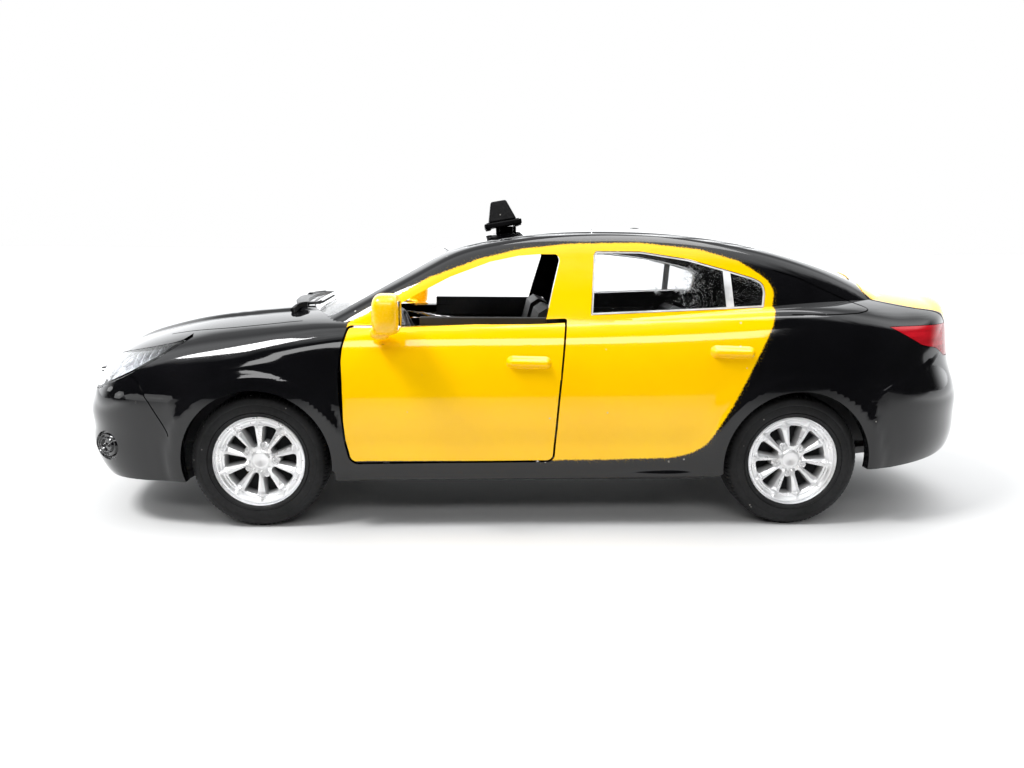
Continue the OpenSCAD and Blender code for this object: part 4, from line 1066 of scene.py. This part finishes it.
def wheel_rim(a0):
    """Polar height field for the face, with a barrel behind. Drawn along +Y."""
    nr, na = ((52, 400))
    r = np.concatenate([np.linspace(0.02, 5.4, nr - 12), np.linspace(5.5, RIM_R - 0.03, 12)])
    t = np.linspace(0, 2 * np.pi, na, endpoint=False)
    R, T = np.meshgrid(r, t, indexing="ij")
    per = 2 * np.pi / 10
    ph = T - math.radians(a0)
    k = np.round(ph / per)
    d = ph - k * per                      # angle from the nearest spoke's middle
    s = R * np.sin(d)                     # distance across that spoke
    # windows between spokes
    w = per / 2 - np.abs(d)
    across = R * np.sin(np.clip(w, 0, None))
    half = 0.34 + 0.215 * np.clip(R - 1.9, 0, 3.2) ** 0.95
    inr = np.maximum(2.0 - R, R - 5.0)
    q = np.hypot(np.maximum(across - half + 0.35, 0), np.maximum(inr + 0.35, 0)) + np.minimum(np.maximum(across - half + 0.35, inr + 0.35), 0) - 0.35
    hole = step3((-q + 0.02) / 0.16)
    # spoke crowns rising to a ridge, arrow heads on the lip
    crown = 0.30 * np.maximum(1 - np.abs(s) / 0.55, 0) * step3((R - 1.2) / 0.8) * (1 - step3((R - 5.0) / 0.5))
    arrow = 0.26 * np.maximum(1 - np.abs(s) / (0.12 + 0.75 * np.clip(5.85 - R, 0, 0.8)), 0) * step3((R - 4.6) / 0.3) * (1 - step3((R - 5.75) / 0.15))
    lip = 0.30 * step3((R - 5.55) / 0.35) - 0.16 * step3((R - 6.05) / 0.2) - 0.25 * step3((5.0 - np.abs(R - 5.2) - 4.75) / 0.3)
    hub = 0.45 * (1 - step3((R - 1.15) / 0.35)) - 0.14 * np.exp(-(((R - 1.25) / 0.14) ** 2))
    dish = 1.05 * np.clip(1 - (R / 5.3), 0, 1) ** 1.6
    Hh = -1.02 - 0.0 * R - dish * 0.55 + crown + arrow + lip + hub * 0.8
    # wheel nut bosses in every other window
    kk = np.round((ph - per / 2) / (2 * per))
    bx, by = R * np.cos(ph - per / 2 - kk * 2 * per) - 2.15, R * np.sin(ph - per / 2 - kk * 2 * per)
    rb = np.hypot(bx, by)
    boss = 1 - step3((rb - 0.5) / 0.14)
    ringb = np.exp(-(((rb - 0.40) / 0.10) ** 2))
    hole = hole * (1 - boss)
    Hh = Hh - 1.9 * hole
    Hh = np.where(boss > 0.02, Hh * (1 - boss) + boss * (-1.62 + 0.16 * ringb - 0.25 * np.exp(-((rb / 0.2) ** 2))), Hh)
    V = np.stack([R * np.cos(T), Hh - 0.02, R * np.sin(T)], -1).reshape(-1, 3)
    # painted shade: a mask over the window floors, which the rim material colours near black for the dark seen in open
    # windows
    painted_window_shade = np.clip(hole * 1.3 - 0.1, 0, 1).reshape(-1)
    n1 = len(r)
    F = [(i * na + j, i * na + (j + 1) % na, (i + 1) * na + (j + 1) % na, (i + 1) * na + j) for i in range(n1 - 1) for j in range(na)]
    F.append(tuple(range(na))[::-1])
    # barrel behind
    prof = [(RIM_R - 0.01, -0.32), (RIM_R - 0.01, -TYRE_W + 0.42), (RIM_R - 0.85, -TYRE_W + 0.42), (RIM_R - 0.85, -3.4), (1.9, -3.3), (1.9, -TYRE_W + 0.65), (1.05, -TYRE_W + 0.65), (1.05, -3.6), (0.02, -3.6)]
    base = len(V)
    B = np.array([[pr * math.cos(a), py, pr * math.sin(a)] for pr, py in prof for a in t])
    V = np.concatenate([V, B])
    painted_window_shade = np.concatenate([painted_window_shade, np.zeros(len(B))])
    rows = [(n1 - 1) * na] + [base + i * na for i in range(len(prof))]
    for a, b in zip(rows, rows[1:]):
        F += [(a + j, a + (j + 1) % na, b + (j + 1) % na, b + j) for j in range(na)]
    F.append(tuple(rows[-1] + j for j in range(na)))
    o = outward(new_object("rim", V, F))
    set_float(o, "painted_window_shade", painted_window_shade)
    return o


def wheel_tyre():
    na = 380
    P = [(RIM_R + 0.02, -TYRE_W + 0.5), (RIM_R + 0.12, -TYRE_W + 0.15), (RIM_R + 0.6, -TYRE_W + 0.02), (7.3, -TYRE_W + 0.1), (8.2, -TYRE_W + 0.02), (8.7, -TYRE_W + 0.22), (9.08, -TYRE_W + 0.55), (9.3, -TYRE_W + 0.95), (9.42, -TYRE_W + 1.5)]
    tread = [(9.44, y) for y in (-4.9, -4.62, -4.56, -4.4, -4.34, -3.6, -3.54, -3.36, -3.3, -2.62, -2.56, -2.38, -2.32, -1.75)]
    Q = [(9.43, -1.35), (9.36, -1.0), (9.22, -0.72), (9.0, -0.44), (8.72, -0.22), (8.45, -0.1), (8.2, -0.045), (8.05, -0.1), (7.95, -0.05), (7.6, -0.02), (7.3, -0.02), (7.05, -0.06), (6.98, -0.16), (6.9, -0.06), (6.75, -0.10), (6.55, -0.18), (6.42, -0.34), (RIM_R + 0.02, -0.5)]
    prof = np.array(P + tread + Q)
    t = np.linspace(0, 2 * np.pi, na, endpoint=False)
    R = prof[:, 0][:, None] + 0 * t[None, :]
    Y = prof[:, 1][:, None] + 0 * t[None, :]
    T = t[None, :] + 0 * R
    groove = ((np.abs(Y + 4.48) < 0.1) | (np.abs(Y + 3.45) < 0.11) | (np.abs(Y + 2.47) < 0.11)) & (R > 9.3)
    R = R - 0.26 * groove
    ph = (T * 95 / (2 * np.pi) + Y * 0.18) % 1.0
    lat = (ph < 0.25) & (R > 9.05) & ((Y > -2.2) | (Y < -4.6))
    R = R - 0.15 * lat
    V = np.stack([R * np.cos(T), Y, R * np.sin(T)], -1).reshape(-1, 3)
    n = len(prof)
    F = [(i * na + j, i * na + (j + 1) % na, ((i + 1) % n) * na + (j + 1) % na, ((i + 1) % n) * na + j) for i in range(n) for j in range(na)]
    return outward(new_object("tyre", V, F))


TRACK = 24.1
for ax, a0, fr in ((AXF, 90.0, "front"), (AXR, 90.0 + 23, "rear")):
    for s, sd in ((1, "left"), (-1, "right")):
        for make, nm, node, mat, sl in ((lambda: wheel_rim(a0 if s > 0 else 180 - a0), "rim_face", "rim", M_PLATED, "plated_plastic"), (wheel_tyre, "tyre_moulding", "tyre", M_TYRE, "tyre_rubber")):
            o = make()
            if s < 0:
                o.data.transform(Matrix.Rotation(math.pi, 4, "Z"))
            o.data.transform(Matrix.Translation(Vector((ax, s * TRACK, TYRE_R))))
            auto_smooth(o, 28 if node == "rim" else 40)
            done(o, f"{nm}_{fr}_{sd}", fr + "_wheels", mat, f"{node}_{fr}_{sd}")

# ---------------------------------------------------------------- roof sign on its clip
Rs = Matrix.Translation(Vector((4.9, 0, 42.5))) @ Matrix.Rotation(math.radians(10), 4, "Y")


def frustum(b, t, z0, z1, bev=0.2, seg=3):
    V = [(x, y, z0) for x in b[:2] for y in b[2:]] + [(x, y, z1) for x in t[:2] for y in t[2:]]
    o = outward(new_object("fr", V, [(0, 1, 3, 2), (4, 6, 7, 5), (0, 4, 5, 1), (2, 3, 7, 6), (0, 2, 6, 4), (1, 5, 7, 3)]))
    soften(o, bev, seg)
    return o


sign = frustum((-2.2, 2.2, -6, 6), (-1.05, 1.35, -5.25, 5.25), 0.42, 3.58, 0.28, 4)
sign.data.transform(Rs)
auto_smooth(sign, 32)
done(sign, "sign_lantern", "car", M_SIGN, "roof_sign")
bits = [block(-2.9, 2.9, -6.3, 6.3, -0.38, 0.38, 0.16, 3), block(-2.55, 2.55, -5.9, 5.9, 0.3, 0.5, 0.06, 1)]
for x in (-2.35, 2.35):
    for y in (-5.6, 0, 5.6):
        bits.append(block(x - 0.42, x + 0.42, y - 0.5, y + 0.5, -0.62, -0.3, 0.1, 2))
b = join("plate", bits)
b.data.transform(Rs)
clip = [b, block(2.7, 5.9, -1.5, 1.5, 39.5, 42.2, 0.15, 2), block(2.2, 6.4, -2.1, 2.1, 40.6, 41.0, 0.1, 2), block(3.2, 5.4, -2.4, 2.4, 41.2, 42.2, 0.2, 2)]
b = join("clip", clip)
auto_smooth(b, 32)
done(b, "sign_clip", "car", M_SIGN, "sign_bracket")

o = superell((-16.6, 0, 41.55), (1.1, 0.55, 0.62), 2.4, 40, 26)
auto_smooth(o)
done(o, "aerial_base", "car", M_SIGN)

# ---------------------------------------------------------------- scuttle and wipers
cowl = pane(grow(np.array([[37.6, 0], [36.7, 8], [35.3, 12.2], [33.6, 12.4], [34.6, 8], [35.2, 0], [34.6, -8], [33.6, -12.4], [35.3, -12.2], [36.7, -8]]), -0.1), "z", 24, 40, -0.34, 0.02, f_lower, GL)
auto_smooth(cowl, 30)
done(cowl, "scuttle_grid", "car", M_BLACK, "wiper_panel")


def rod(points, r, n=10):
    P = np.array(points, float)
    T = np.gradient(P, axis=0)
    T /= np.linalg.norm(T, axis=1)[:, None]
    V, F = [], []
    for p, t in zip(P, T):
        a = np.cross(t, [0, 0, 1.0])
        a /= np.linalg.norm(a)
        b = np.cross(t, a)
        for i in range(n):
            w = 2 * math.pi * i / n
            V.append(p + r * (a * math.cos(w) + b * math.sin(w)))
    m = len(P)
    for i in range(m - 1):
        for j in range(n):
            F.append((i * n + j, i * n + (j + 1) % n, (i + 1) * n + (j + 1) % n, (i + 1) * n + j))
    F += [tuple(range(n))[::-1], tuple((m - 1) * n + j for j in range(n))]
    return outward(new_object("rod", V, F))


def on_cabin(x, y, h, f=f_cabin, z0=22):
    p = cast(f, np.array([[x, y, z0]]), np.array([[0.0, 0, 1]]), -h, 1, 40)[0]
    return p


wip = []


def lay(x, y, h):
    p = on_cabin(x, y, h)
    return np.array([p[0], p[1], max(p[2], on_cabin(x, y, h + 0.12, f_lower, 20)[2])])


def tapered(pts, r0, r1, n=10):
    """A round rod whose radius falls from r0 to r1 along the points."""
    return [rod(pts[i:i + 2], r0 + (r1 - r0) * (i + 0.5) / (len(pts) - 1), n) for i in range(len(pts) - 1)]


for xy, k in (([[35.2, 14.7], [34.4, 12.9], [32.9, 11.5], [30.4, 10.1]], 1), ([[36.4, -2.0], [35.7, -6.5], [34.3, -11.0], [32.3, -15.5]], -1)):
    path = smooth_poly(xy, False, 5)
    pts = [lay(x, y, 0.2) for x, y in path]
    wip += tapered(pts, 0.34, 0.12)
    wip.append(rod([p + np.array([0.3, 0.12 * k, 0.1]) for p in pts[1:-3]], 0.13))
    # the arm's moulded foot, ribbed across
    foot = [lay(x, y, 0.12) for x, y in path[:max(3, len(path) // 2)]]
    wip += tapered([p + np.array([0.25, 0.5 * k, -0.1]) for p in foot], 0.5, 0.24, 12)
    for i in range(len(foot) - 1):
        for u in (0.2, 0.7):
            p = foot[i] * (1 - u) + foot[i + 1] * u
            wip.append(block(p[0] - 0.12, p[0] + 0.12, min(p[1] - 0.25, p[1] + 0.9 * k), max(p[1] + 0.25, p[1] + 0.9 * k), p[2] - 0.4, p[2] + 0.42, 0.05, 1))
o = join("wip", wip)
auto_smooth(o, 35)
done(o, "wiper_arms", "car", M_BLACK)

# ---------------------------------------------------------------- grilles and plates
bits = []
for z in np.arange(18.75, 20.6, 0.5):
    bits.append(block(62.9, 66.4, -8.85, 8.85, z - 0.12, z + 0.12, 0.05, 1))
for y in np.arange(-8, 8.1, 2.0):
    bits.append(block(62.9, 65.6, y - 0.12, y + 0.12, 18.42, 20.78, 0.05, 1))
bits.append(block(62.6, 63.2, -8.9, 8.9, 18.4, 20.8, 0.05, 1))
o = join("g", bits)
auto_smooth(o)
done(o, "upper_grille_bars", "car", M_BLACK, "grille")
bits = [block(62.8, 63.3, -12.9, 12.9, 8.3, 12.7, 0.05, 1)]
for z in np.arange(8.8, 12.5, 0.72):
    bits.append(block(63, 65.6, -12.8, 12.8, z - 0.14, z + 0.14, 0.06, 1))
for y in np.arange(-12, 12.1, 2.4):
    bits.append(block(63, 65.0, y - 0.14, y + 0.14, 8.35, 12.65, 0.05, 1))
o = join("g", bits)
auto_smooth(o)
done(o, "lower_grille_bars", "car", M_BLACK, "lower_grille")
for x0, x1, z0, z1, fr in ((67.25, 67.95, 13.2, 16.3, "front"), (-67.95, -67.25, 14.7, 17.8, "rear")):
    o = block(x0, x1, -7.2, 7.2, z0, z1, 0.16, 3)
    xo = x1 if fr == "front" else x0
    o = boolean(o, block(xo - 0.14, xo + 0.14, -6.85, 6.85, z0 + 0.35, z1 - 0.35, 0.05, 1))
    for y in (-5.4, 5.4):
        zc, d_ = (z0 + z1) / 2, []
        d = prism(np.stack([y + 0.28 * np.cos(a_), zc + 0.28 * np.sin(a_)], 1), "x", min(xo, xo - 0.3 * np.sign(xo)), max(xo, xo - 0.3 * np.sign(xo)))
        o = boolean(o, d, "UNION")
    auto_smooth(o)
    done(o, "blank_plate_" + fr, "car", M_PLATE, "number_plate_" + fr)

# ---------------------------------------------------------------- cabin
for n_, m_ in (("base_plate", M_SILL), ("interior_tray", M_INSIDE), ("dashboard", M_INSIDE), ("rear_seat", M_SEAT), ("axle_front", M_STEEL), ("axle_rear", M_STEEL), ("door_pin_left", M_STEEL), ("door_pin_right", M_STEEL), ("front_seat_left", M_SEAT), ("front_seat_right", M_SEAT), ("steering_wheel", M_WHEELRIM)):
    c = frame["nodes"][n_]
    c.data.materials.clear()
    c.data.materials.append(m_)

bpy.data.objects.remove(SKIN_L)

# ---------------------------------------------------------------- camera, light, floor
cam_d = bpy.data.cameras.new("camera")
cam_d.sensor_width = 36
cam_d.lens = 28.25
cam_d.clip_start, cam_d.clip_end = 0.005, 20
cam = bpy.data.objects.new("camera", cam_d)
bpy.context.scene.collection.objects.link(cam)
yaw, pitch, roll = 0.038, 0.176, 0.009
fw = Vector((-math.sin(yaw), -math.cos(yaw), 0)); rt = Vector((-math.cos(yaw), math.sin(yaw), 0)); up = Vector((0, 0, 1))
fw2 = fw * math.cos(pitch) - up * math.sin(pitch); up2 = up * math.cos(pitch) + fw * math.sin(pitch)
rt3 = rt * math.cos(roll) + up2 * math.sin(roll); up3 = up2 * math.cos(roll) - rt * math.sin(roll)
cam.matrix_world = Matrix(((rt3.x, up3.x, -fw2.x, 0.008122), (rt3.y, up3.y, -fw2.y, 0.132728), (rt3.z, up3.z, -fw2.z, 0.039876), (0, 0, 0, 1)))
bpy.context.scene.camera = cam
try:
    bpy.context.scene.view_settings.view_transform = "Standard"
except TypeError:
    pass

w = bpy.data.worlds.new("studio")
bpy.context.scene.world = w
w.use_nodes = True
nt = w.node_tree
for n in list(nt.nodes):
    nt.nodes.remove(n)
N = lambda k: nt.nodes.new("ShaderNode" + k)
out, bg, bgc, lp, mixs = N("OutputWorld"), N("Background"), N("Background"), N("LightPath"), N("MixShader")
tc, sep = N("TexCoord"), N("SeparateXYZ")
nt.links.new(tc.outputs["Generated"], sep.inputs[0])
noise = N("TexNoise"); noise.inputs["Scale"].default_value = 9; noise.inputs["Detail"].default_value = 6; noise.inputs["Roughness"].default_value = 0.62
nt.links.new(tc.outputs["Generated"], noise.inputs["Vector"])
def wm(op, a, b=None):
    x = N("Math"); x.operation = op
    for i, v in enumerate((a, b)):
        if v is None: continue
        if isinstance(v, (int, float)): x.inputs[i].default_value = v
        else: nt.links.new(v, x.inputs[i])
    return x.outputs[0]
def wr(src, a, b, lo=0.0, hi=1.0):
    x = N("MapRange"); x.interpolation_type = "SMOOTHSTEP"
    for k, v in (("From Min", a), ("From Max", b), ("To Min", lo), ("To Max", hi)): x.inputs[k].default_value = v
    nt.links.new(src, x.inputs["Value"]); return x.outputs[0]
z, y = sep.outputs[2], sep.outputs[1]
jig = wm("MULTIPLY", wm("SUBTRACT", noise.outputs["Fac"], 0.5), 0.22)
top = wr(wm("SUBTRACT", wm("ADD", z, jig), wr(y, -0.15, 0.3, 0.0, 0.27)), 0.44, 0.60)
back = wr(y, -0.1, 0.25, 1.0, 0.0)
low = wr(wm("ADD", z, jig), 0.50, 0.78, 1.0, 0.0)
shiny = wm("SUBTRACT", 1.0, lp.outputs["Is Diffuse Ray"])
back_s = wr(y, -0.5, -0.08, 2.1, 0.0)
dull = wm("SUBTRACT", 1.0, shiny)
sweep = wm("MULTIPLY", low, wm("ADD", wm("MULTIPLY", back, dull), wm("MULTIPLY", back_s, shiny)))
top = wm("MULTIPLY", top, wm("SUBTRACT", 1.0, wm("MULTIPLY", shiny, wr(y, -0.42, -0.15, 0.7, 0.0))))
lum = wm("MAXIMUM", wm("MULTIPLY", top, 1.75), sweep)
lum = wm("ADD", wm("MULTIPLY", lum, 1.0), 0.03)
nt.links.new(lum, bg.inputs["Strength"])
bg.inputs["Color"].default_value = (0.97, 0.985, 1.0, 1)
bgc.inputs["Color"].default_value = (1, 1, 1, 1); bgc.inputs["Strength"].default_value = 1.0
nt.links.new(lp.outputs["Is Camera Ray"], mixs.inputs[0])
nt.links.new(bg.outputs[0], mixs.inputs[1]); nt.links.new(bgc.outputs[0], mixs.inputs[2])
nt.links.new(mixs.outputs[0], out.inputs[0])

def area(name, loc, target, size, power, col=(1, 1, 1)):
    d = bpy.data.lights.new(name, "AREA"); d.shape = "RECTANGLE"; d.size, d.size_y = size; d.energy = power; d.color = col
    o = bpy.data.objects.new(name, d); bpy.context.scene.collection.objects.link(o)
    o.location = loc
    o.rotation_euler = (Vector(target) - Vector(loc)).to_track_quat("-Z", "Y").to_euler()
    return o
area("key", (0.228, 0.105, 0.378), (0.02, 0, 0.025), (0.13, 0.10), 1.7)
area("front", (0.03, 0.37, 0.265), (0, 0.02, 0.02), (0.40, 0.07), 0.62)
area("roof", (-0.10, -0.05, 0.46), (0, 0, 0.02), (0.25, 0.22), 0.9)

bm = bmesh.new()
bmesh.ops.create_grid(bm, x_segments=4, y_segments=4, size=3.0)
for v in bm.verts:
    v.co.y = v.co.y * (3.15 / 6) - 1.425
me = bpy.data.meshes.new("floor"); bm.to_mesh(me); bm.free()
floor = bpy.data.objects.new("floor", me); bpy.context.scene.collection.objects.link(floor)
floor.location = (0, 0, -0.00002)
fm = Mat("floor_white", (0.58, 0.58, 0.578), 0.7)
sx = fm.n("SeparateXYZ")
fm.l(fm.coords(), sx.inputs[0])
# painted shade: past y 0.085 m in front of the car the floor is painted dark, for the unlit floor there that the car's
# lower sides reflect
front_shade_mask = fm.ramp(fm.math("ADD", sx.outputs[1], fm.math("MULTIPLY", fm.noise(14, 3), 0.02)), 0.085, 0.15)
# painted light: away from the car the floor is painted near white, so it looks as bright as the lamp-lit floor near
# the car
far_light_mask = fm.math("MAXIMUM", fm.ramp(sx.outputs[1], -0.14, -0.035, 1, 0), fm.ramp(fm.math("ABSOLUTE", sx.outputs[0]), 0.15, 0.28))
fm.to("Base Color", fm.mix(front_shade_mask, fm.mix(far_light_mask, fm.mix(fm.ramp(fm.noise(3, 2), 0.3, 0.7), (0.58, 0.58, 0.578), (0.565, 0.565, 0.565)), (0.98, 0.98, 0.98)), (0.27, 0.27, 0.27)))
floor.data.materials.append(fm.m)
